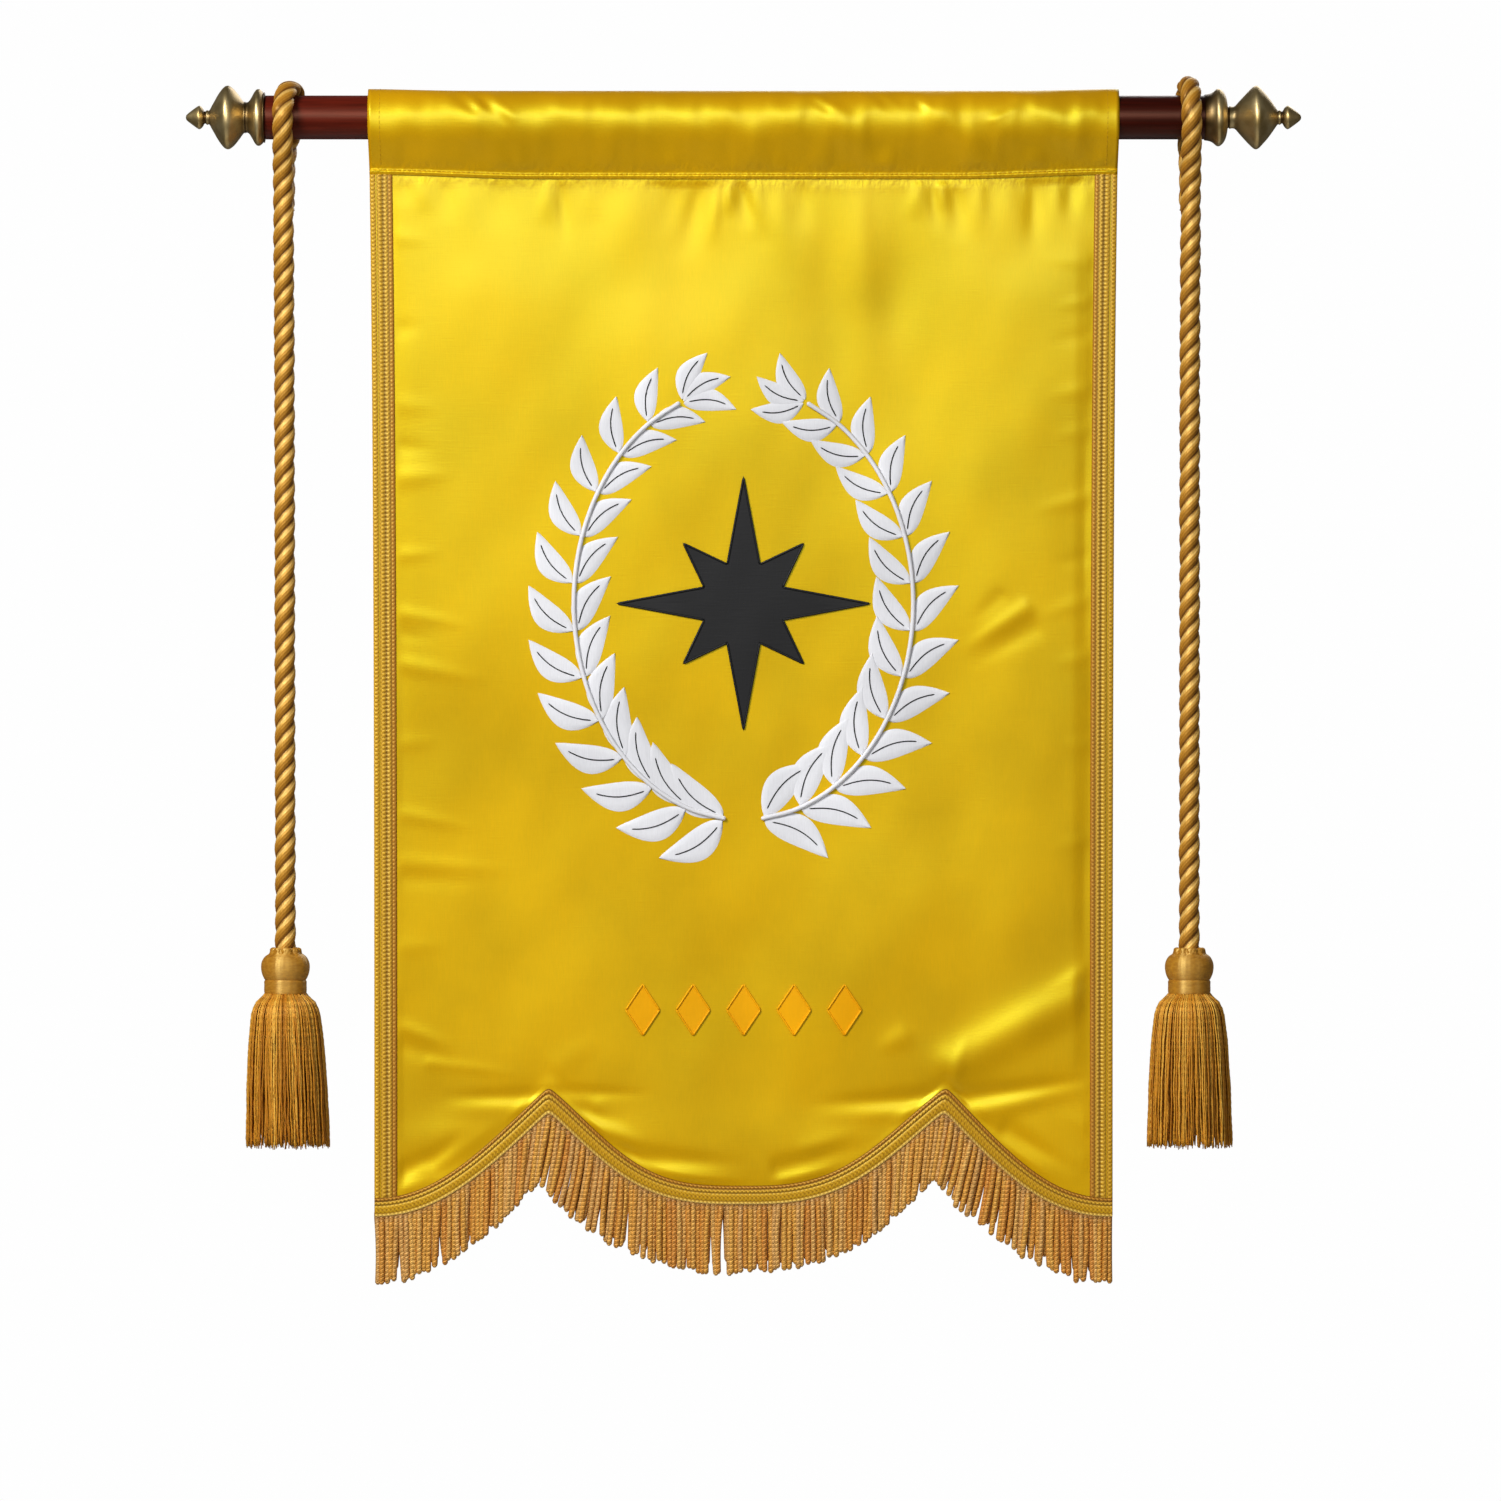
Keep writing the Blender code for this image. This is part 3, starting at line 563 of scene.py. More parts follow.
def brass_material():
    """Aged brass with a mottled patina, brown in its grooves as painted shade, and faintly scratched round.
    """
    material, shader = new_material("aged_brass", Metallic=1.0, Specular_IOR_Level=0.5)
    patina = noise(material, 60.0, 5.0)
    lathe = noise(material, 400.0, 2.0, (1, 0.15, 0.15))
    bright = ramp(material, patina, screen_stops((0.35, 178, 150, 92), (0.65, 216, 194, 142)))
    # Painted shade: the brass darkens to brown where its profile marks a groove
    shade_in_grooves = blend(material, attribute(material, "groove"), bright, linear(78, 54, 26))
    link(material, shade_in_grooves, shader, "Base Color")
    link(material, scaled(material, patina, 0.34, 0.5), shader, "Roughness")
    link(material, bump(material, lathe, 0.12, 0.0003), shader, "Normal")
    return material


def wood_material():
    """Red-brown stained hardwood under varnish, its grain along the rod, with painted shade that darkens it
    towards the rod's right end.
    """
    material, shader = new_material(
        "stained_wood", Roughness=0.36, Specular_IOR_Level=0.34, Specular_Tint=(1.0, 0.45, 0.3, 1.0)
    )
    grain = noise(material, 420.0, 5.0, (0.045, 1, 1))
    figure = noise(material, 30.0, 3.0, (0.3, 1, 1))
    dark_grain = ramp(material, grain, screen_stops((0.3, 72, 18, 10), (0.66, 100, 28, 16)))
    tint = ramp(material, figure, [(0.3, (0.75, 0.7, 0.7, 1)), (0.7, (1.1, 1.05, 1.0, 1))])
    stained = blend(material, 1.0, dark_grain, tint, "MULTIPLY")
    # Painted shade: the wood darkens towards the rod's right end along this attribute
    stain = attribute(material, "stain")
    painted_right_end_shade = ramp(material, stain, [(0.1, (1.0, 0.94, 0.8, 1)), (0.9, (0.3, 0.2, 0.14, 1))])
    link(material, blend(material, 1.0, stained, painted_right_end_shade, "MULTIPLY"), shader, "Base Color")
    link(material, bump(material, grain, 0.15, 0.0003), shader, "Normal")
    return material


def floor_material():
    material, shader = new_material("floor_paint", Roughness=0.7)
    tone = ramp(material, noise(material, 3.0), [(0.3, (0.80, 0.80, 0.80, 1)), (0.7, (0.83, 0.83, 0.83, 1))])
    link(material, tone, shader, "Base Color")
    return material


YELLOW_SATIN = satin_material("yellow_satin", linear(215, 152, 0), 0.455, 1.0, (0.92, 1.0, 0.03, 1.0), 0.13)
WHITE_SATIN = satin_material("white_satin", linear(238, 238, 242), 0.55, 0.15)
BLACK_SATIN = satin_material("black_satin", linear(14, 14, 16), 0.5, 0.12)
GOLD_SATIN = satin_material("gold_satin", linear(252, 172, 2), 0.45, 0.4, (1.0, 0.9, 0.1, 1.0))
SIDE_BRAID = braid_material(
    "side_braid_weave",
    screen_stops(
        (0.02, 228, 176, 44), (0.22, 222, 166, 38), (0.27, 104, 60, 6),
        (0.34, 230, 178, 54), (0.48, 228, 174, 48), (0.56, 112, 62, 8),
        (0.66, 242, 192, 78), (0.73, 230, 176, 56), (0.79, 126, 70, 10),
        (0.85, 206, 142, 50), (0.95, 190, 122, 42), (1.0, 160, 98, 24),
    ),
    (0.45, 0.36, 0.22, 1),
)
BOTTOM_BRAID = braid_material(
    "bottom_braid_weave",
    screen_stops(
        (0.02, 206, 160, 80), (0.07, 244, 206, 120), (0.13, 224, 176, 60),
        (0.18, 150, 100, 14), (0.25, 228, 176, 32), (0.38, 206, 152, 22),
        (0.46, 232, 178, 34), (0.55, 216, 162, 26), (0.61, 120, 72, 8),
        (0.68, 240, 190, 58), (0.75, 226, 168, 44), (0.81, 112, 60, 10),
        (0.88, 214, 146, 48), (0.94, 200, 130, 44), (0.99, 100, 54, 10),
    ),
    (0.42, 0.32, 0.16, 1),
)
BULLION = bullion_material(
    "bullion_thread",
    screen_stops(
        (0.0, 192, 124, 50), (0.3, 198, 138, 56), (0.55, 204, 150, 64),
        (0.8, 194, 146, 84), (1.0, 210, 160, 80),
    ),
    linear(104, 56, 18),
)
# Tones from the shaded to the lit side of a ply, as painted shade and highlight, and the colour of painted
# shade in the grooves
ROPE_YARN = thread_material(
    "rope_yarn",
    screen_stops(
        (0.0, 158, 98, 18), (0.35, 198, 138, 42), (0.65, 220, 164, 68),
        (1.0, 244, 200, 114),
    ),
    linear(96, 50, 8), 0.45,
)
TASSEL_YARN = thread_material(
    "tassel_yarn",
    screen_stops((0.0, 184, 112, 18), (0.45, 218, 150, 38), (1.0, 244, 192, 80)),
    linear(138, 80, 14), 0.5,
)
HEAD_SATIN = wound_material("head_satin", linear(164, 104, 20), linear(190, 132, 38))
STITCH_THREAD = satin_material("stitch_thread", linear(206, 152, 10), 0.5, 0.6, (1.0, 0.85, 0.1, 1.0))
BRASS = brass_material()
WOOD = wood_material()


# The camera, at the photograph's angle, and the studio

CAMERA_DISTANCE = 6.0
SENSOR = 36.0
BACKDROP = 0.992
ROOM_LIGHT = 0.15
ROOM_GLOSS = 0.08
FLOOR_Z = -2.1
FLOOR_HALF = 1.7
camera_data = bpy.data.cameras.new("camera")
camera_data.sensor_width = SENSOR
camera_data.lens = SENSOR * CAMERA_DISTANCE / (PHOTO_SIZE * PX)
camera_data.clip_end = 100
camera = bpy.data.objects.new("camera", camera_data)
camera.location = (photo_x(PHOTO_SIZE / 2), -CAMERA_DISTANCE, photo_z(PHOTO_SIZE / 2))
camera.rotation_euler = (math.radians(90), 0, 0)
bpy.context.scene.collection.objects.link(camera)
bpy.context.scene.camera = camera
bpy.context.scene.view_settings.view_transform = "Standard"


def area_light(name, position, target, size, power, spread=180, diffuse=True):
    data = bpy.data.lights.new(name, "AREA")
    data.shape = "RECTANGLE"
    data.size, data.size_y = size
    data.energy = power
    data.spread = math.radians(spread)
    light = bpy.data.objects.new(name, data)
    light.visible_diffuse = diffuse
    light.location = position
    light.visible_camera = False
    light.rotation_euler = (Vector(target) - Vector(position)).to_track_quat("-Z", "Y").to_euler()
    bpy.context.scene.collection.objects.link(light)


area_light("key", (-2.2, -3.0, 1.5), (0, 0, -1.0), (1.3, 1.3), 36.5, spread=80)
area_light("gloss", (-0.1, -1.55, 0.29), (0, 0, -0.2), (1.3, 0.54), 17.2, diffuse=False)
area_light("card", (0, -5.2, -0.4), (0, 0, -0.4), (3.2, 2.4), 11, diffuse=False)
area_light("fill", (2.4, -2.2, 0.4), (0, 0, -0.5), (1.2, 1.6), 10)
area_light("rim", (0.8, 2.4, 1.2), (0, 0, -0.4), (1.8, 1.4), 25)

world = bpy.data.worlds.new("studio")
bpy.context.scene.world = world
world.use_nodes = True
world_nodes = world.node_tree.nodes
world_links = world.node_tree.links
background = world_nodes["Background"]
background.inputs["Color"].default_value = (1.0, 1.0, 1.0, 1.0)
seen = world_nodes.new("ShaderNodeLightPath")
strength = world_nodes.new("ShaderNodeMapRange")
strength.inputs["To Max"].default_value = BACKDROP
dimmed = world_nodes.new("ShaderNodeMapRange")
dimmed.inputs["To Min"].default_value = ROOM_LIGHT
dimmed.inputs["To Max"].default_value = ROOM_GLOSS
world_links.new(seen.outputs["Is Glossy Ray"], dimmed.inputs["Value"])
world_links.new(dimmed.outputs["Result"], strength.inputs["To Min"])
world_links.new(seen.outputs["Is Camera Ray"], strength.inputs["Value"])
world_links.new(strength.outputs["Result"], background.inputs["Strength"])

floor_mesh = bpy.data.meshes.new("floor")
floor_corners = [(x * FLOOR_HALF, y * FLOOR_HALF, FLOOR_Z) for x, y in ((-1, -1), (1, -1), (1, 1), (-1, 1))]
floor_mesh.from_pydata(floor_corners, [], [(0, 1, 2, 3)])
floor_mesh.materials.append(floor_material())
floor = bpy.data.objects.new("floor", floor_mesh)
bpy.context.scene.collection.objects.link(floor)


# The cords

CORD_PITCH = 45.0 * MM
PLY_OFFSET = 2.2 * MM
PLY_RADIUS = 6.3 * MM
CORD_SIDES = 60
LOOP_STITCH_ZS = (-63 * MM, -69 * MM, -75 * MM)
LOOP_STITCH_Y = 9.4 * MM
LOOP_STITCH_RADIUS = 7.6 * MM
LOOP_STITCH_RISE = 1.2 * MM
LOOP_YARN_RADIUS = 0.5 * MM
HEAD_TOP_Z = -675 * MM
CORD_END_Z = -700.0
CORDS = {
    "left": {"x": -373.5 * MM, "lean": 1.0, "drift": 1.2 * MM, "pressed": 0.70, "skirt_lean": 2.4 * MM},
    "right": {"x": 363.0 * MM, "lean": -0.3, "drift": -0.72 * MM, "pressed": 0.93, "skirt_lean": 0.4 * MM},
}
# (lean, y, z) in mm, from the sewn end behind, over the rod and down
LOOP_ROUTE = (
    (0, 8.3, -80), (0, 8.4, -66), (0, 10.3, -50), (0.4, 14.8, -35), (2.2, 21.4, -19),
    (6.8, 26.2, 0), (9, 22.8, 13.1), (8, 13.2, 22.8), (5.3, 0, 26.4), (2.8, -13.2, 22.8),
    (1.2, -22.8, 13.1), (0.5, -26.2, 0), (0.2, -21.4, -19), (0, -14.8, -35), (0, -10.3, -50),
    (0, -8.4, -66), (0, -8.2, -82), (0, -7.4, -98), (0, -5, -122), (0, -2.2, -155),
    (0, -0.6, -195), (0, 0, -250), (0, 0, -400), (0, 0, -550), (0, 0, -683),
    (0, 0, CORD_END_Z),
)
CORD_DROP = -683.0


def cord_line(place, step):
    points = []
    for lean, y, z in LOOP_ROUTE:
        x = place["x"] + place["lean"] * lean * MM + place["drift"] * max(0.0, z / CORD_DROP)
        points.append((x, y * MM, z * MM))
    return even_steps(catmull_rom(points, 20), step)


def make_cord(name, place):
    """Three plies laid right-handed, each of fine yarns, tapered at the sewn end."""
    line = cord_line(place, 1.7 * MM)
    length = np.linalg.norm(np.diff(line, axis=0), axis=1).sum()
    along = np.linspace(0, length, len(line))[:, None]
    around = angles_round(CORD_SIDES)
    ply = (around * 3) % math.tau / 3 - math.pi / 3
    inside = PLY_RADIUS**2 - (PLY_OFFSET * np.sin(ply)) ** 2
    radius = PLY_OFFSET * np.cos(ply) + np.sqrt(inside)
    on_ply = ply + np.arcsin(PLY_OFFSET * np.sin(ply) / PLY_RADIUS)
    yarn = np.cos(on_ply * 13 + along / (21 * MM) * math.tau)
    slub = 0.08 * MM * np.sin(along / (37 * MM) + around * 2) + 0.1 * MM * np.sin(along / (11 * MM) + 1.0)
    taper = 0.58 + 0.42 * smooth_step(along / (12 * MM))
    laid = around + math.tau * along / CORD_PITCH
    radii = (radius + 0.14 * MM * yarn + slub) * taper
    grid = tube(line, radii, laid)
    over = smooth_step(grid[..., 2] / (18 * MM))
    from_rod = np.hypot(grid[..., 1], grid[..., 2])
    pressed = 1 - (1 - place["pressed"]) * over * np.clip(from_rod - ROD_RADIUS, 0, None) / from_rod
    grid[..., 1:] *= pressed[..., None]
    deepest = PLY_OFFSET / 2 + math.sqrt(PLY_RADIUS**2 - 0.75 * PLY_OFFSET**2)
    depth = (PLY_OFFSET + PLY_RADIUS - radius) / (PLY_OFFSET + PLY_RADIUS - deepest) + 0 * along
    bundle = Bundle()
    # Painted shade in the grooves between the plies; the tone paints a highlight along one side of each ply
    # and shade along the other, with a little tone from yarn to yarn
    groove = np.clip(depth * 1.15 - 0.12, 0, 1) ** 2.2
    side = ply / (math.pi / 3)
    tone = 0.3 + 0.25 * side + 0.5 * np.exp(-(((side - 0.5) / 0.32) ** 2)) + 0.13 * yarn
    bundle.add(grid, closed=True, capped=True, groove=groove, tone=np.clip(tone, 0, 1))
    return bundle.make(name, "silk", ROPE_YARN), line, length


def make_loop_stitches(name, place):
    """The stitches that hold the cord's sewn end against its front leg."""
    bundle = Bundle()
    turn = np.linspace(0, math.tau, 40)
    for z in LOOP_STITCH_ZS:
        x = place["x"] + LOOP_STITCH_RADIUS * np.cos(turn)
        y = LOOP_STITCH_Y + LOOP_STITCH_RADIUS * np.sin(turn)
        line = np.stack([x, y, z + LOOP_STITCH_RISE * turn / math.tau], 1)
        grid = tube(line, np.full((len(line), 8), LOOP_YARN_RADIUS), angles_round(8), (0, 0, 1))
        bundle.add(grid, closed=True, capped=True, groove=0.15, tone=0.3)
    return bundle.make(name, "silk", ROPE_YARN)


# The tassels, in mm from the head's top

# (radius, z)
HEAD_SHAPE = (
    (8.2, -7), (8.4, -2.4), (8.9, -0.4), (10.4, 0.2), (12.2, -0.9), (12.7, -3.1), (13.6, -4.8),
    (17, -7.2), (19.2, -11.2), (19.8, -15.4), (19.2, -20.2), (17.6, -24.4), (16.6, -25.9),
    (17, -26.6), (17.3, -27.6), (17.2, -30), (17.3, -33), (17.2, -35.6), (16.6, -37.4), (14, -38.4),
)
# (z, radius)
SKIRT_SHAPE = (
    (-34, 14.6), (-38, 17), (-41, 21), (-44.7, 24.6), (-52, 27.8), (-75, 30.6), (-110, 32.8),
    (-161, 34.4),
)
OUTER_THREADS = 165
INNER_THREADS = 150
SKIRT_LENGTH = 162.5
NECK_Z = -34.0
THREAD_RADII = (0.66 * MM, 0.86 * MM)
# (radius, z) of the core behind the threads, coloured dark as painted shade
CORE_SHAPE = ((12, -33), (14, -45), (17, -60), (21, -110), (23, -150), (1, -153))
CLUMPS = 11
CLUMPING = 0.035


def make_tassel(name, place, rng):
    """A gathered satin head bound round its neck, over a skirt of loose twisted threads."""
    x = place["x"] + place["drift"]
    shape = catmull_rom(HEAD_SHAPE, 4)
    radius, height = shape[:, :1] * MM, shape[:, 1:] * MM
    angles = angles_round(144)
    rim = np.exp(-(((height + 1.5 * MM) / (4.2 * MM)) ** 2))
    ball = np.exp(-(((height + 13 * MM) / (9 * MM)) ** 2))
    band = smooth_step((-25.5 * MM - height) / (1.5 * MM))
    wander = 0.35 * np.sin(angles * 3 + 1.0)
    puff = np.abs(np.cos(angles * 4.5 + wander)) - 0.6
    pleat = np.cos(angles * 36 + 3 * wander)
    wraps = np.cos(height / (1.35 * MM) * math.tau)
    crumple = np.sin(angles * 17 + height / (1.1 * MM)) + np.sin(angles * 29 - height / (0.8 * MM))
    relief = (1.5 * puff + 0.12 * crumple) * rim + 0.04 * ball * pleat + 0.05 * band * wraps
    radii = radius + relief * MM
    grid = np.stack([radii * np.cos(angles), radii * np.sin(angles), height + 0 * angles], -1)
    grid[..., 2] += 0.9 * MM * rim * puff
    grid += (x, 0, HEAD_TOP_Z)
    bundle = Bundle()
    bundle.add(grid, closed=True, flip=True)
    head = bundle.make(f"{name}_head", "silk", HEAD_SATIN)

    threads = Bundle()
    shape_z, shape_r = np.array(SKIRT_SHAPE)[::-1].T
    for number in range(OUTER_THREADS + INNER_THREADS):
        outer = number < OUTER_THREADS
        if outer:
            angle = math.tau * (number + rng.uniform(-0.35, 0.35)) / OUTER_THREADS
            share = rng.uniform(0.93, 1.0)
        else:
            angle = rng.uniform(0, math.tau)
            share = rng.uniform(0.45, 0.9)
        low = -SKIRT_LENGTH + rng.uniform(0.0, 4.5)
        z = np.linspace(NECK_Z, low, 26 if outer else 12)
        fall = (z - NECK_Z) / (low - NECK_Z)
        reach = np.interp(z, shape_z, shape_r) * share
        phase, length = rng.uniform(0, math.tau, 2), rng.uniform(22, 60, 2)
        loose = 0.2 + 0.8 * fall
        out = reach + 0.25 * loose * np.sin(z / length[0] * math.tau + phase[0])
        drift = rng.normal(0, 0.03) * fall - CLUMPING * np.sin(angle * CLUMPS + 1.3) * fall
        swing = 0.45 * loose * np.sin(z / length[1] * math.tau + phase[1])
        turn = angle + drift + swing / np.maximum(reach, 6)
        line = np.stack([out * np.cos(turn), out * np.sin(turn), z], 1) * MM
        line += (x, 0, HEAD_TOP_Z)
        line[:, 0] += place["skirt_lean"] * fall
        thick = rng.uniform(*THREAD_RADII)
        count = 5 if outer else 4
        spin = angles_round(count) + z[:, None] / 5.0
        radii = np.full((len(z), count), thick)
        radii[-1] *= 0.6
        # Painted light: each thread is lighter on the clumps and darker between them and towards the bottom;
        # painted shade darkens each outer thread by a random amount, the inner threads more, and all just
        # under the head
        tone = rng.normal(0.5, 0.2) + 0.22 * np.cos(angle * CLUMPS + 1.3) - 0.25 * (fall[:, None] - 0.3)
        groove = rng.uniform(0.0, 0.3) ** 1.5 if outer else 0.15
        groove = groove + 0.35 * np.exp(-((z[:, None] + 36) / 4.0) ** 2)
        values = {"tone": np.clip(tone, 0, 1), "groove": np.clip(groove, 0, 1)}
        threads.add(tube(line, radii, spin), closed=True, capped=True, flip=True, **values)
    radius, height = np.array(CORE_SHAPE, float)[:, :, None].transpose(1, 0, 2) * MM
    angles = angles_round(24)
    core = np.stack([radius * np.cos(angles), radius * np.sin(angles), height + 0 * angles], -1)
    # The core is darkened as painted shade
    threads.add(core + (x, 0, HEAD_TOP_Z), closed=True, capped=True, flip=True, tone=0.2, groove=0.4)
    skirt = threads.make(f"{name}_skirt", "silk", TASSEL_YARN)
    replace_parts(skirt, name)
    return head, skirt


rng = np.random.default_rng(SEED)
for side, cord_place in CORDS.items():
    cord, line, length = make_cord(f"cord_{side}_yarn", cord_place)
    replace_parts(cord, f"cord_{side}")
    stitches = make_loop_stitches(f"cord_{side}_stitches", cord_place)
    head, skirt = make_tassel(f"tassel_{side}", cord_place, rng)


# The rod and its brass fittings

TURNED_SIDES = 96
LEFT_COLLAR_OUT = 4.0 * MM


def turned_piece(name, profile, side):
    """A profile of (radius, distance from the rod's end, painted shade in the grooves), turned about the
    rod's axis; radius and distance in mm.
    """
    shape = catmull_rom(profile, 4)
    radius = np.maximum(shape[:, :1], 0.02) * MM
    out = side * (ROD_HALF_LENGTH + shape[:, 1:2] * MM)
    bundle = Bundle()
    groove = np.clip(shape[:, 2:3], 0, 1)
    grid = turned(out, radius, angles_round(TURNED_SIDES))
    bundle.add(grid, closed=True, capped=True, flip=side > 0, groove=groove)
    return bundle.make(name, "brass", BRASS)


# Profiles of radius and distance from the rod's end in mm, and painted shade from nought to one in the
# grooves
TIP_SHAPE = (
    (0, 68.4, 0), (1.7, 68, 0), (3.2, 66.6, 0), (5.4, 63.8, 0), (7.6, 60.8, 0), (9.3, 58.2, 0),
    (9.4, 56.8, 0.1), (7.8, 54.8, 0.5), (5.4, 53.4, 0.9), (4.9, 52.5, 1), (5.6, 51.6, 0.4), (6, 50.7, 0.2),
    (5.6, 49.8, 0.6), (6.2, 48.9, 0.5),
)
FINIAL_SHAPES = {
    "left": (
        *TIP_SHAPE, (9, 47.4, 0.2), (13.2, 45, 0), (17.8, 42.4, 0), (22.4, 39.2, 0), (25, 36.6, 0),
        (25.8, 34.4, 0), (25.2, 32.2, 0.1), (22.4, 28.8, 0.2), (18, 25.2, 0.3), (14.4, 22.6, 0.4),
        (12.5, 20.9, 0.6), (11.9, 19.9, 0.8), (0, 19.9, 1),
    ),
    "right": (
        *TIP_SHAPE, (8.6, 47.2, 0.2), (12.4, 44.6, 0), (17.2, 41, 0), (22, 36.8, 0), (25, 33.8, 0),
        (25.8, 31.8, 0), (25.2, 29.8, 0.1), (22.4, 26.6, 0.2), (17.8, 22.2, 0.3), (13.2, 18, 0.4),
        (10.2, 15.4, 0.6), (9, 13.6, 0.6), (8.9, 11.6, 0.3), (9.2, 10.2, 0.5), (8.4, 9.4, 0.9), (8.2, 8.6, 1),
        (0, 8.6, 1),
    ),
}
COLLAR_SHAPES = {
    "left": (
        (0, 19.7, 1), (11.7, 19.7, 1), (12.2, 18.6, 0.7), (13.4, 16.8, 0.5), (16.8, 14.6, 0.2),
        (20.4, 12.6, 0.1), (22.4, 11, 0), (23, 9.6, 0), (22.8, 8.2, 0.1), (21.8, 6.8, 0.3),
        (20.6, 5.6, 0.6), (19.8, 4.8, 0.8), (19.2, 4.2, 0.9), (0, 4.2, 1),
    ),
    "right": (
        (0, 8.4, 0.6), (8.6, 8.4, 0.5), (13.4, 7.9, 0.1), (18, 6.6, 0), (21.2, 4.6, 0),
        (23, 2.4, 0), (23.4, 0.8, 0.1), (22.8, -0.8, 0.3), (21.2, -2.6, 0.6), (19.8, -4.8, 0.8),
        (19, -7.4, 0.9), (18.6, -10, 1), (18.2, -10.4, 1), (17.9, -10.4, 1),
    ),
}
for side_name, side in (("left", -1), ("right", 1)):
    for part, shapes in (("finial", FINIAL_SHAPES), ("collar", COLLAR_SHAPES)):
        piece = turned_piece(f"{part}_{side_name}_brass", shapes[side_name], side)
        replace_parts(piece, f"{part}_{side_name}")


def make_rod():
    """The wooden rod, darkened towards its right end by painted shade."""
    shares = np.concatenate([[0.0, 0.0006], np.linspace(0.002, 0.998, 240), [0.9994, 1.0]])
    radius = np.full(len(shares), ROD_RADIUS)
    radius[[0, -1]] -= 0.5 * MM
    x = mix(-ROD_HALF_LENGTH - LEFT_COLLAR_OUT, ROD_HALF_LENGTH, shares)[:, None]
    grid = turned(x, radius[:, None], angles_round(TURNED_SIDES))
    bundle = Bundle()
    # Painted shade along the rod: none at its left end, most at its right
    bundle.add(grid, closed=True, capped=True, stain=shares[:, None])
    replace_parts(bundle.make("rod_wood", "wood", WOOD), "rod")


make_rod()


# The cloth

PANEL_ROWS = 300
COLUMNS = 216
HEM_FOLD = 9 * MM
HEM_GAP = 0.8 * MM
# The side hem's first column behind the edge, as a share of the half width
HEM_TURN = 0.0016
SLEEVE_LOFT = 2.7 * MM
END_LOFT = 1.1 * MM
END_LOFT_WIDTH = 48 * MM
# (y, z) of the front hem's lip below the stitches, which rolls in at its edge
LIP_LINE = (
    (0.45 * MM, -46.5 * MM), (-0.2 * MM, -46.4 * MM), (-0.7 * MM, -45.8 * MM), (-1.15 * MM, -45.0 * MM),
    (-1.65 * MM, -44.1 * MM), (-1.55 * MM, -43.4 * MM), (-0.85 * MM, -42.5 * MM),
)
LIP_STEP = 0.5 * MM
SLEEVE_STEP = 2.1 * MM
# How deep the sleeve may dent towards the rod, in mm
SLEEVE_SLACK = 0.6
# How far the fine puckers reach from the seam
PUCKER_REACH = 9 * MM
PUCKER_MIDDLE = STITCH_Z - 3 * MM
# The waves' strength at the sleeve's left and right, and where it grows from and over what width
SLEEVE_FULLNESS = (1.5, 2.8)
FULLER_FROM = -40 * MM
FULLER_WIDTH = 140 * MM
SLEEVE_FOOT = (-1.2 * MM, -41.0 * MM)
# The front leans back above its foremost point, bends evenly below it, and runs straight to its foot
FRONT_LEAN = math.radians(4)
FRONT_BEND = math.radians(1.7) / MM
FOOT_LEAN = math.radians(33)
# Waves in the sleeve's front: length along x in mm, turns up the front, phase, height in mm
SLEEVE_WAVES = (
    (96, 0.7, 0.4, 0.24), (61, -0.9, 2.0, 0.18), (43, 1.3, 4.1, 0.15), (29, -0.6, 1.1, 0.12),
    (17.5, 0.3, 3.0, 0.07), (12.5, -0.4, 5.0, 0.035),
)


def sleeve_line():
    """(y, z) from the front hem's lip up over the rod and down its back to the seam."""
    turn = math.acos(SLEEVE_RADIUS / math.hypot(LAYER_Y, STITCH_Z))
    end = math.atan2(STITCH_Z, LAYER_Y) + turn - math.tau
    angles = np.linspace(-math.pi - FRONT_LEAN, end, 60)
    arc = SLEEVE_RADIUS * np.stack([np.cos(angles), np.sin(angles)], 1)
    arc[:, 1] += SLEEVE_LOFT * np.clip(arc[:, 1] / SLEEVE_RADIUS, 0, 1) ** 2
    z = np.linspace(arc[0, 1], SLEEVE_FOOT[1], 40)
    lean = np.minimum(-FRONT_LEAN + (z[0] - z) * FRONT_BEND, FOOT_LEAN)
    y = arc[0, 0] + np.concatenate([[0], np.cumsum(-np.diff(z) * np.tan((lean[1:] + lean[:-1]) / 2))])
    y += (SLEEVE_FOOT[0] - y[-1]) * ((z - z[0]) / (z[-1] - z[0])) ** 2
    front = np.stack([y, z], 1)[::-1]
    lip = even_steps(catmull_rom(LIP_LINE, 6), LIP_STEP)
    sleeve = even_steps(np.concatenate([LIP_LINE[-1:], front[:-1], arc, [(LAYER_Y, STITCH_Z)]]), SLEEVE_STEP)
    return np.concatenate([lip[:-1], sleeve])


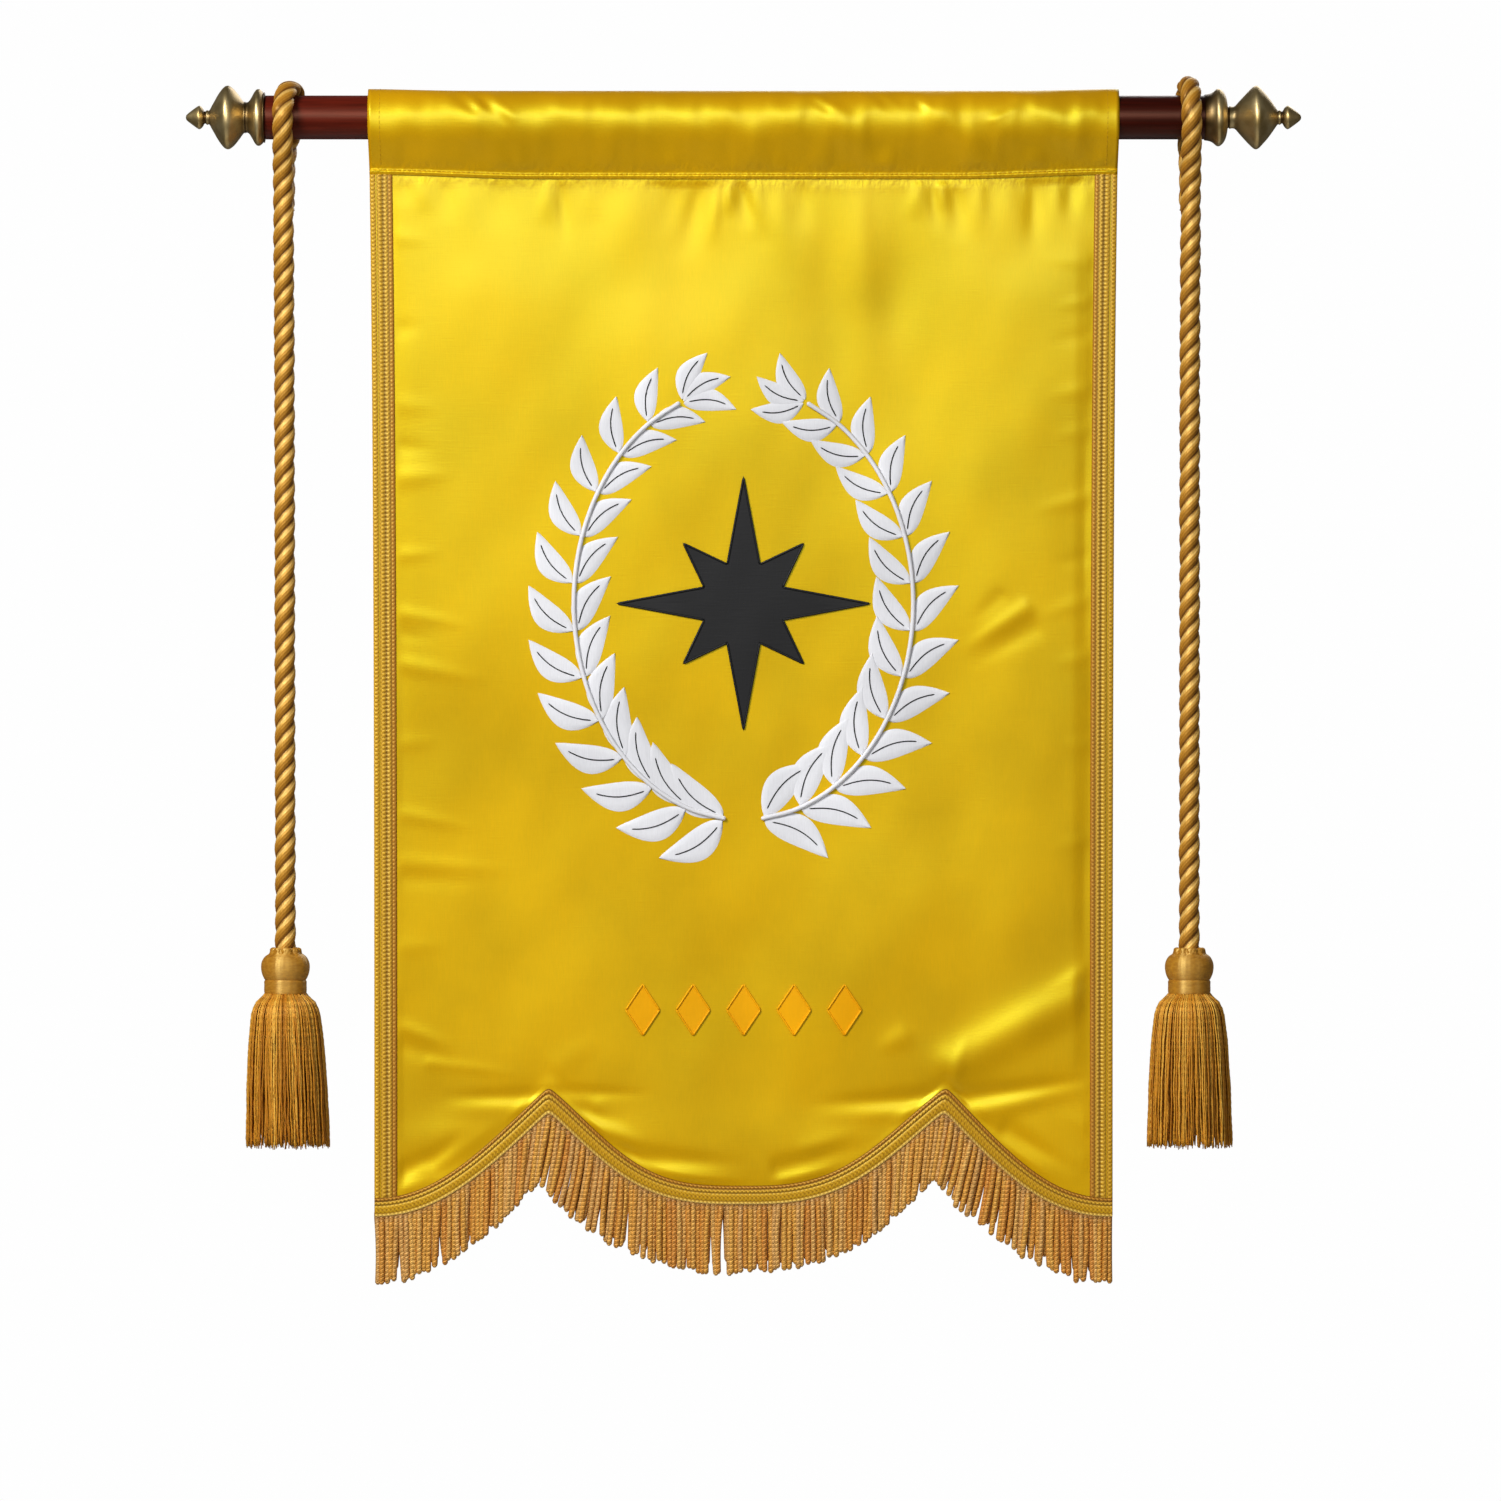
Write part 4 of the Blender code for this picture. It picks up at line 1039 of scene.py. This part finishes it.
def sleeve_puff(x, z, front):
    """How far the gathered sleeve stands off its line in front, in soft waves and slanting creases."""
    up = (z - STITCH_Z) / (SLEEVE_RADIUS + SLEEVE_LOFT - STITCH_Z)
    waves = np.zeros(np.shape(x))
    for wide, turns, phase, rise in SLEEVE_WAVES:
        waves = waves + rise * np.sin(math.tau * (x / (wide * MM) + turns * up) + phase)
    creases = np.zeros(np.shape(x))
    for x0, y0, x1, y1, width, rise in SLEEVE_CREASES:
        distance, share = from_segment(x, z + 0 * x, (photo_x(x0), photo_z(y0)), (photo_x(x1), photo_z(y1)))
        taper = smooth_step((share + 0.3) / 0.5) * smooth_step((1.3 - share) / 0.5)
        creases = creases + rise * np.exp(-((distance / (width * PX)) ** 2)) * taper
    fuller = mix(*SLEEVE_FULLNESS, smooth_step((x - FULLER_FROM) / FULLER_WIDTH))
    rise = (fuller * waves + creases) * smooth_step(up / 0.14) * smooth_step((1 - up) / 0.12) * front
    return MM * np.where(rise < 0, SLEEVE_SLACK * np.tanh(rise / SLEEVE_SLACK), rise)


def seam_sag(x, z):
    """How far the seam and the cloth by it hang lower towards the middle."""
    above = smooth_step((-12 * MM - z) / (26 * MM))
    below = smooth_step((z + 220 * MM) / (170 * MM))
    return SEAM_SAG * smooth_step((1 - np.abs(x) / TOP_HALF_WIDTH) / 0.45) * above * below


def sleeve_rows(xs, folded):
    """The sleeve's points at shares across the cloth, row by row from the lip; folded ones lie inside."""
    profile = sleeve_line()
    rows = []
    for number, (y, z) in enumerate(profile):
        before, after = profile[max(0, number - 1)], profile[min(len(profile) - 1, number + 1)]
        normal = np.array([after[1] - before[1], -(after[0] - before[0])])
        normal /= np.linalg.norm(normal)
        normal = -normal if normal @ (y, z + 20 * MM) < 0 else normal
        x = xs * half_width(z)
        puff = sleeve_puff(x, z, float(y < 0)) - folded * HEM_GAP
        from_end = TOP_HALF_WIDTH - np.abs(x)
        loft = END_LOFT * np.exp(-((from_end / END_LOFT_WIDTH) ** 2)) * max(0.0, z / SLEEVE_RADIUS) ** 2
        rows.append(np.stack([x, y + normal[0] * puff, z + normal[1] * puff + loft - seam_sag(x, z)], 1))
    return rows


def make_cloth():
    xs = np.linspace(-1, 1, COLUMNS)
    inset = HEM_FOLD / HEM_HALF_WIDTH
    tucked = np.array([1 - inset, 1 - inset / 2, 1 - HEM_TURN])
    xs = np.concatenate([-tucked, xs, tucked[::-1]])
    folded = np.ones(len(xs))
    folded[3:-3] = 0
    rows = sleeve_rows(xs, folded)
    x = xs * HEM_HALF_WIDTH
    bottom = above_hem(x, 1.6 * MM)
    for share in np.linspace(0, 1, PANEL_ROWS)[1:]:
        bend = share**1.5
        z = mix(STITCH_Z + (MIDDLE_Z - STITCH_Z) * share, mix(STITCH_Z, bottom, share), bend)
        wide = xs * half_width(z)
        y = cloth_y(wide, z) - folded * HEM_GAP
        rows.append(np.stack([wide, y, z - seam_sag(wide, z)], 1))
    rows = np.array(rows)
    from_seam = rows[..., 2] + seam_sag(rows[..., 0], LIP_Z) - PUCKER_MIDDLE
    pucker = np.exp(-((from_seam / PUCKER_REACH) ** 2))
    bundle = Bundle()
    bundle.add(rows, flip=True, pucker=pucker)
    cloth = bundle.make("banner_satin", "satin", YELLOW_SATIN)
    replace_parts(cloth, "banner_cloth")
    return cloth


cloth = make_cloth()


# The braids

SIDE_BRAID_RELIEF = (
    (0.0, 0.25), (0.03, 0.95), (0.08, 1.35), (0.16, 1.45), (0.22, 1.25), (0.275, 0.55), (0.33, 1.35),
    (0.41, 1.75), (0.49, 1.4), (0.56, 0.6), (0.62, 1.3), (0.68, 1.6), (0.74, 1.25), (0.80, 0.6),
    (0.85, 1.1), (0.90, 1.1), (0.95, 0.75), (1.0, 0.2),
)
BOTTOM_BRAID_RELIEF = (
    (0.0, 0.25), (0.03, 1.1), (0.08, 1.5), (0.13, 1.2), (0.18, 0.6), (0.24, 1.15), (0.32, 1.35), (0.38, 1.1),
    (0.45, 1.35), (0.52, 1.25), (0.57, 0.9), (0.61, 0.5), (0.66, 1.4), (0.71, 1.6), (0.76, 1.3), (0.81, 0.5),
    (0.86, 1.3), (0.91, 1.45), (0.96, 1.0), (1.0, 0.25),
)
TICK = 3.3 * MM
BRAID_STEP = 0.62 * MM


def braid_grid(positions, base, relief, along):
    """A closed woven band: positions(share across) gives x and z, base(x, z) the cloth that it lies on."""
    shares = np.array([share for share, _ in relief])
    heights = np.array([height for _, height in relief]) * MM
    x, z = positions(shares)
    beads = np.cos(math.tau * along[:, None] / TICK + math.pi * (np.round(shares * 9) % 2)[None])
    strong = np.clip((heights - 0.6 * MM) / (0.8 * MM), 0, 1)
    lift = heights[None] + 0.32 * MM * beads * strong[None]
    y = base(x, z)
    front = np.stack([x, y - lift, z], -1)
    back = np.stack([x[:, [-1, 0]], y[:, [-1, 0]], z[:, [-1, 0]]], -1)
    # Painted shade in the hollows between the beads, strongest on the raised bands
    gap = np.clip(0.5 - 0.5 * beads, 0, 1) ** 1.5 * np.clip(strong + 0.25, 0, 1)
    gap = np.concatenate([gap, np.zeros((len(gap), 2))], 1)
    across = np.concatenate([np.broadcast_to(shares, lift.shape), np.ones((len(gap), 2))], 1)
    return np.concatenate([front, back], 1), across, gap


def braid_base(x, z):
    return LAYER_Y - 0.1 * MM + sway(x, z)


def make_side_braid(name, side):
    top = LIP_Z + 1.0 * MM
    span = top - (CORNER_Z + BOTTOM_BRAID_WIDTH)
    count = round(span / BRAID_STEP)
    rows = np.linspace(0, 1, count)[:, None]

    def positions(shares):
        inset = SIDE_BRAID_WIDTH * shares[None]
        end = above_hem(side * (HEM_HALF_WIDTH - inset), BOTTOM_BRAID_WIDTH - 1.5 * MM)
        z = mix(top, end, rows)
        return side * (half_width(z) - inset), z

    grid, across, gap = braid_grid(positions, braid_base, SIDE_BRAID_RELIEF, rows[:, 0] * span)
    bundle = Bundle()
    bundle.add(grid, closed=True, capped=True, flip=side < 0, across=across, gap=gap)
    braid = bundle.make(f"{name}_weave", "braid", SIDE_BRAID)
    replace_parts(braid, name)
    return braid


def hem_stations(step, width=8 * MM):
    """x and length so far of evenly spaced points along the hem."""
    x = np.linspace(-HEM_HALF_WIDTH, HEM_HALF_WIDTH, 6001)
    z = above_hem(x, width)
    length = np.concatenate([[0], np.cumsum(np.hypot(np.diff(x), np.diff(z)))])
    at = np.linspace(0, length[-1], round(length[-1] / step))
    return np.interp(at, length, x), at


def make_bottom_braid():
    xs, along = hem_stations(BRAID_STEP)

    def positions(shares):
        x = np.broadcast_to(xs[:, None], (len(xs), len(shares)))
        return x, above_hem(x, BOTTOM_BRAID_WIDTH * shares[None])

    def base(x, z):
        rise = 0.9 * MM * smooth_step((np.abs(x) - HEM_HALF_WIDTH + SIDE_BRAID_WIDTH + 3 * MM) / (4 * MM))
        over = smooth_step((z - above_hem(x, BOTTOM_BRAID_WIDTH - 4 * MM)) / (3 * MM))
        return braid_base(x, z) - rise * over - 0.5 * MM

    grid, across, gap = braid_grid(positions, base, BOTTOM_BRAID_RELIEF, along)
    bundle = Bundle()
    bundle.add(grid, closed=True, capped=True, flip=True, across=across, gap=gap)
    braid = bundle.make("braid_bottom_weave", "braid", BOTTOM_BRAID)
    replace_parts(braid, "braid_bottom")
    return braid


side_braids = [make_side_braid("braid_left", -1), make_side_braid("braid_right", 1)]
bottom_braid = make_bottom_braid()


# The fringe

FRINGE_STRANDS = 154
FRINGE_LENGTH = 54 * MM
BACK_LENGTH = 47 * MM
TWIST_STEP = 3.4 * MM
# Where the loops hang longer: x, half width and how much, in mm
LONGER_LOOPS = ((-122, 42, 6.0), (-26, 30, 3.0))
# Where the loops part, at photo pixels
SLITS = (401, 441, 450, 607, 629, 711, 723, 1029, 1036, 1045, 1087)
SLIT_REACH = 6 * MM
SLIT_HALF = 2.4 * MM
LOOP_RADIUS = 2.35 * MM
# The loops lean to the left by this much at a place a little right of each notch
NOTCH_LEAN = -11.5 * MM
NOTCH_LEAN_CENTRE = 18 * MM
NOTCH_LEAN_WIDTH = 42 * MM


def add_loop(bundle, rng, x, back):
    """One bullion loop, leaning where the hem turns; those of the back row fill between the front's."""
    x = float(np.clip(x, -HEM_HALF_WIDTH + 1.8 * MM, HEM_HALF_WIDTH - 1.8 * MM))
    edge = float(above_hem(x, 0.0))
    top = float(above_hem(x, 4.0 * MM))
    drop = BACK_LENGTH if back else FRINGE_LENGTH
    drop += (rng.normal(0, 0.8) - rng.choice([0, 0, 0, 2.2])) * MM
    for middle, width, longer in LONGER_LOOPS:
        drop += longer * MM * math.exp(-(((x / MM - middle) / width) ** 2))
    low = max(edge - drop, CORNER_Z - 56.4 * MM)
    nearest = min(abs(x - notch - NOTCH_LEAN_CENTRE) for notch in NOTCH_XS)
    lean = NOTCH_LEAN * math.exp(-((nearest / NOTCH_LEAN_WIDTH) ** 2)) + rng.normal(0, 0.9) * MM
    for slit in SLITS:
        off = x - photo_x(slit)
        lean += math.copysign(SLIT_HALF, off) * max(0.0, 1 - abs(off) / SLIT_REACH)
    lean = float(np.clip(lean, -HEM_HALF_WIDTH - x - 0.5 * MM, HEM_HALF_WIDTH - x))
    z = np.linspace(top, low, 20 if back else 38)
    fall = np.clip((edge - z) / (edge - low), 0, 1)
    bow = rng.normal(0, 0.6) * MM * np.sin(math.pi * fall)
    stand = 2.2 if back else rng.normal(0, 0.4) + rng.choice([0.6, -0.6])
    depth = 0.45 * MM + sway(x, edge) + stand * MM * smooth_step(fall * 6)
    line = np.stack([x + lean * fall**1.2 + bow, depth, z], 1)
    sides = 6 if back else 8
    around = angles_round(sides) - math.pi / 2
    radii = np.full((len(z), sides), LOOP_RADIUS)
    to_end = (z - low)[:, None]
    radii *= np.sqrt(np.clip(1 - (1 - np.clip(to_end / (2.2 * MM), 0.08, 1)) ** 2, 0, 1))
    grid = tube(line, radii, around)
    flat = mix(0.3, 1.0, smooth_step((edge + 1 * MM - z) / (6 * MM)))[:, None]
    grid[..., 1] = depth[:, None] + (grid[..., 1] - depth[:, None]) * flat
    tone = rng.choice([0.15, 0.3, 0.45, 0.55, 0.72, 0.9]) + rng.normal(0, 0.05)
    # Painted shade: the back row is darker, and each loop darkens near its top as the shadow under the
    # heading
    groove = (0.3 if back else 0.0) + 0.5 * (1 - smooth_step((edge - z) / (7 * MM)))[:, None]
    twist = 2 * around + z[:, None] / TWIST_STEP * math.tau
    bundle.add(
        grid, closed=True, capped=True, flip=True,
        tone=np.clip(tone, 0, 1), groove=np.clip(groove, 0, 1), twist=twist,
    )


def make_fringe(rng):
    """Two rows of bullion loops hanging from a woven heading."""
    bundle = Bundle()
    for number in range(FRINGE_STRANDS):
        x = mix(-HEM_HALF_WIDTH, HEM_HALF_WIDTH, (number + 0.5) / FRINGE_STRANDS)
        add_loop(bundle, rng, x + rng.normal(0, 0.35) * MM, back=False)
    for number in range(1, FRINGE_STRANDS):
        x = mix(-HEM_HALF_WIDTH, HEM_HALF_WIDTH, number / FRINGE_STRANDS)
        add_loop(bundle, rng, x, back=True)
    xs, _ = hem_stations(2.5 * MM)
    heights = np.array([0.4, 1.6, 3.0, 4.4, 5.6]) * MM
    thick = np.array([0.2, 0.45, 0.5, 0.45, 0.2]) * MM
    x = np.broadcast_to(xs[:, None], (len(xs), 10))
    width = np.concatenate([heights, heights[::-1]])[None]
    z = above_hem(x, width)
    y = 0.3 * MM + sway(x, z) + np.concatenate([-thick, thick[::-1]])[None]
    # The heading is darkened as painted shade
    bundle.add(np.stack([x, y, z], -1), closed=True, capped=True, flip=True, tone=0.3, groove=0.3, twist=1.6)
    fringe = bundle.make("fringe_bullion", "bullion", BULLION)
    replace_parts(fringe, "fringe")
    return fringe


fringe = make_fringe(np.random.default_rng(SEED + 1))


# The stitched design: a star in a laurel wreath over a row of lozenges

FIELD_Z = -395 * MM
WREATH_RADII = (138 * MM, 176 * MM)
STAR_RADII = (104 * MM, 35 * MM, 70 * MM, 35 * MM)
LOZENGE_Z = photo_z(1010)
LOZENGE_COUNT = 5
LOZENGE_PITCH = 41 * MM
LOZENGE_HALF = (14 * MM, 21 * MM)
RIM_LIFT = 0.1 * MM
WREATH_PAIRS = 12
WREATH_ANGLES = (-84, 68)
LEAF_TURNS = (-38, 38)
TOP_LEAF_TURNS = (-34, 0, 34)
LEAF_LENGTH = 60 * MM
LEAF_HALF = 13.5 * MM
LEAF_RISE = 1.1 * MM
LEAF_OUT = 3.0 * MM
TOP_LEAF_SIZE = 0.72
# Radius of the thread and height of its middle over the cloth
VEIN = (0.55 * MM, 1.2 * MM)
STEM = (1.8 * MM, 1.85 * MM)


def on_cloth(x, z, lift):
    """Points so far in front of the cloth."""
    return np.stack([x, cloth_y(x, z) - lift, z], -1)


def leaf_grid(root, direction, length, width, lift, rows=20, columns=9):
    """A pointed leaf on the cloth, domed across its midrib, with its rim down on the cloth."""
    t = np.linspace(0, 1, rows)[:, None]
    s = np.linspace(-1, 1, columns)[None]
    half = width * np.sin(math.pi * t**0.85) ** 0.85 * (1 - 0.15 * t) + 0.02 * MM
    bend = 0.12 * length * np.sin(math.pi * t)
    side = np.array([-direction[1], direction[0]])
    x = root[0] + direction[0] * length * t + side[0] * (half * s + bend)
    z = root[1] + direction[1] * length * t + side[1] * (half * s + bend)
    return on_cloth(x, z, lift * (1 - np.abs(s) ** 3) ** 0.5 + 0 * t + RIM_LIFT), np.stack([x, z], -1)


def stitched_line(points, radius, lift, sides=6, step=1.2 * MM):
    """A tube of thread laid on the cloth through (x, z) points."""
    flat = even_steps(np.asarray(points, float), step)
    line = on_cloth(flat[:, 0], flat[:, 1], lift)
    radii = np.full((len(line), sides), radius)
    radii[[0, -1]] *= 0.4
    return tube(line, radii, angles_round(sides), (0, 1, 0))


def make_wreath():
    leaves, veins = Bundle(), Bundle()
    for side in (-1, 1):
        stem = []
        for number in range(WREATH_PAIRS + 1):
            share = number / WREATH_PAIRS
            angle = math.radians(mix(*WREATH_ANGLES, share))
            wide, high = side * WREATH_RADII[0], WREATH_RADII[1]
            point = np.array([wide * math.cos(angle), FIELD_Z + high * math.sin(angle)])
            stem.append(point)
            ahead = np.array([-wide * math.sin(angle), high * math.cos(angle)])
            ahead /= np.linalg.norm(ahead)
            size = mix(1.0, TOP_LEAF_SIZE, share)
            for turn in LEAF_TURNS if number < WREATH_PAIRS else TOP_LEAF_TURNS:
                spread = math.radians(turn)
                direction = np.array([
                    ahead[0] * math.cos(spread) - ahead[1] * math.sin(spread),
                    ahead[0] * math.sin(spread) + ahead[1] * math.cos(spread),
                ])
                root = point + direction * LEAF_OUT
                grid, flat = leaf_grid(root, direction, LEAF_LENGTH * size, LEAF_HALF * size, LEAF_RISE)
                leaves.add(grid, flip=True)
                middle = flat[2:-4, flat.shape[1] // 2]
                veins.add(stitched_line(middle, *VEIN), closed=True, capped=True)
        curve = catmull_rom(stem, 8)
        leaves.add(stitched_line(curve, *STEM, 8), closed=True, capped=True)
    wreath = leaves.make("wreath_leaves", "satin", WHITE_SATIN)
    return wreath, veins.make("wreath_veins", "satin", BLACK_SATIN)


def outline_patch(bundle, centre, corners, lift, border):
    """A flat patch inside straight-sided corners, with a raised stitched border round it."""
    corners = np.asarray(corners, float)
    closed = np.concatenate([corners, corners[:1]])
    rim = even_steps(closed, 2.4 * MM)[:-1]
    for corner in corners:
        nearest = np.argmin(np.linalg.norm(rim - corner, axis=1))
        rim[nearest] = corner
    shares = np.concatenate([np.linspace(0.002, 0.94, 12), [0.97, 1.0]])[:, None, None]
    centre = np.asarray(centre, float)
    flat = centre + (rim[None] - centre) * shares
    rise = np.full((len(shares), 1), lift)
    rise[-1] = RIM_LIFT
    grid = on_cloth(flat[..., 0], flat[..., 1], rise)
    bundle.add(grid, closed=True)
    edge = centre + (closed - centre) * 0.985
    for start, end in zip(edge[:-1], edge[1:]):
        bundle.add(stitched_line([start, end], border, border + 0.05 * MM, 8), closed=True, capped=True)


def make_star():
    bundle = Bundle()
    corners = []
    for number in range(16):
        radius = STAR_RADII[number % 4]
        angle = math.radians(90) - math.tau * number / 16
        corners.append((radius * math.cos(angle), FIELD_Z + radius * math.sin(angle)))
    outline_patch(bundle, (0, FIELD_Z), corners, 0.7 * MM, 0.9 * MM)
    return bundle.make("star_patch", "satin", BLACK_SATIN)


def make_lozenges():
    bundle = Bundle()
    for number in range(LOZENGE_COUNT):
        x = (number - (LOZENGE_COUNT - 1) / 2) * LOZENGE_PITCH
        wide, high = LOZENGE_HALF
        corners = [(x, LOZENGE_Z + high), (x + wide, LOZENGE_Z), (x, LOZENGE_Z - high), (x - wide, LOZENGE_Z)]
        outline_patch(bundle, (x, LOZENGE_Z), corners, 0.6 * MM, 0.8 * MM)
    return bundle.make("lozenge_patches", "satin", GOLD_SATIN)


wreath, veins = make_wreath()
star = make_star()
lozenges = make_lozenges()


# The seams' stitches

STITCH_LENGTH = 3.0 * MM
STITCH_PITCH = 4.0 * MM
SEAM_STITCH_Y = -1.0 * MM
SEAM_STITCH_Z = -42.3 * MM
END_SEAM_INSET = 9.5 * MM
STITCH_RADIUS = 0.24 * MM
STITCH_BOW = 0.28 * MM
STITCH_DIP = 0.1 * MM


def add_stitch(bundle, start, end, out):
    """One stitch: a short bowed thread that dips into the cloth at both ends."""
    t = np.linspace(0, 1, 6)[:, None]
    bowed = np.asarray(out) * (STITCH_BOW * np.sin(math.pi * t) - STITCH_DIP)
    line = mix(np.asarray(start), np.asarray(end), t) + bowed
    radii = np.full((len(t), 5), STITCH_RADIUS)
    bundle.add(tube(line, radii, angles_round(5), (0, 1, 0.3)), closed=True, capped=True)


def make_seam_stitches():
    bundle = Bundle()
    wide = float(half_width(SEAM_STITCH_Z)) - 3 * MM
    for x in np.arange(-wide, wide - STITCH_LENGTH, STITCH_PITCH):
        places = (x, x + STITCH_LENGTH)
        ends = [(at, SEAM_STITCH_Y, SEAM_STITCH_Z - seam_sag(at, SEAM_STITCH_Z)) for at in places]
        add_stitch(bundle, *ends, (0, -1, 0))
    for side in (-1, 1):
        share = np.array([side * (1 - END_SEAM_INSET / TOP_HALF_WIDTH)])
        line = np.array(sleeve_rows(share, np.zeros(1)))[:, 0]
        line = even_steps(line[line[:, 2] > STITCH_Z + 2 * MM], STITCH_PITCH)
        for start, end in zip(line[:-1], line[1:]):
            away = np.array([0.0, *(end - start)[:0:-1]]) * (1, -1, 1)
            away *= np.sign(away @ (start - (0, 0, -20 * MM))) / np.linalg.norm(away)
            add_stitch(bundle, start, mix(start, end, STITCH_LENGTH / STITCH_PITCH), away)
    return bundle.make("seam_stitches", "satin", STITCH_THREAD)


seam_stitches = make_seam_stitches()
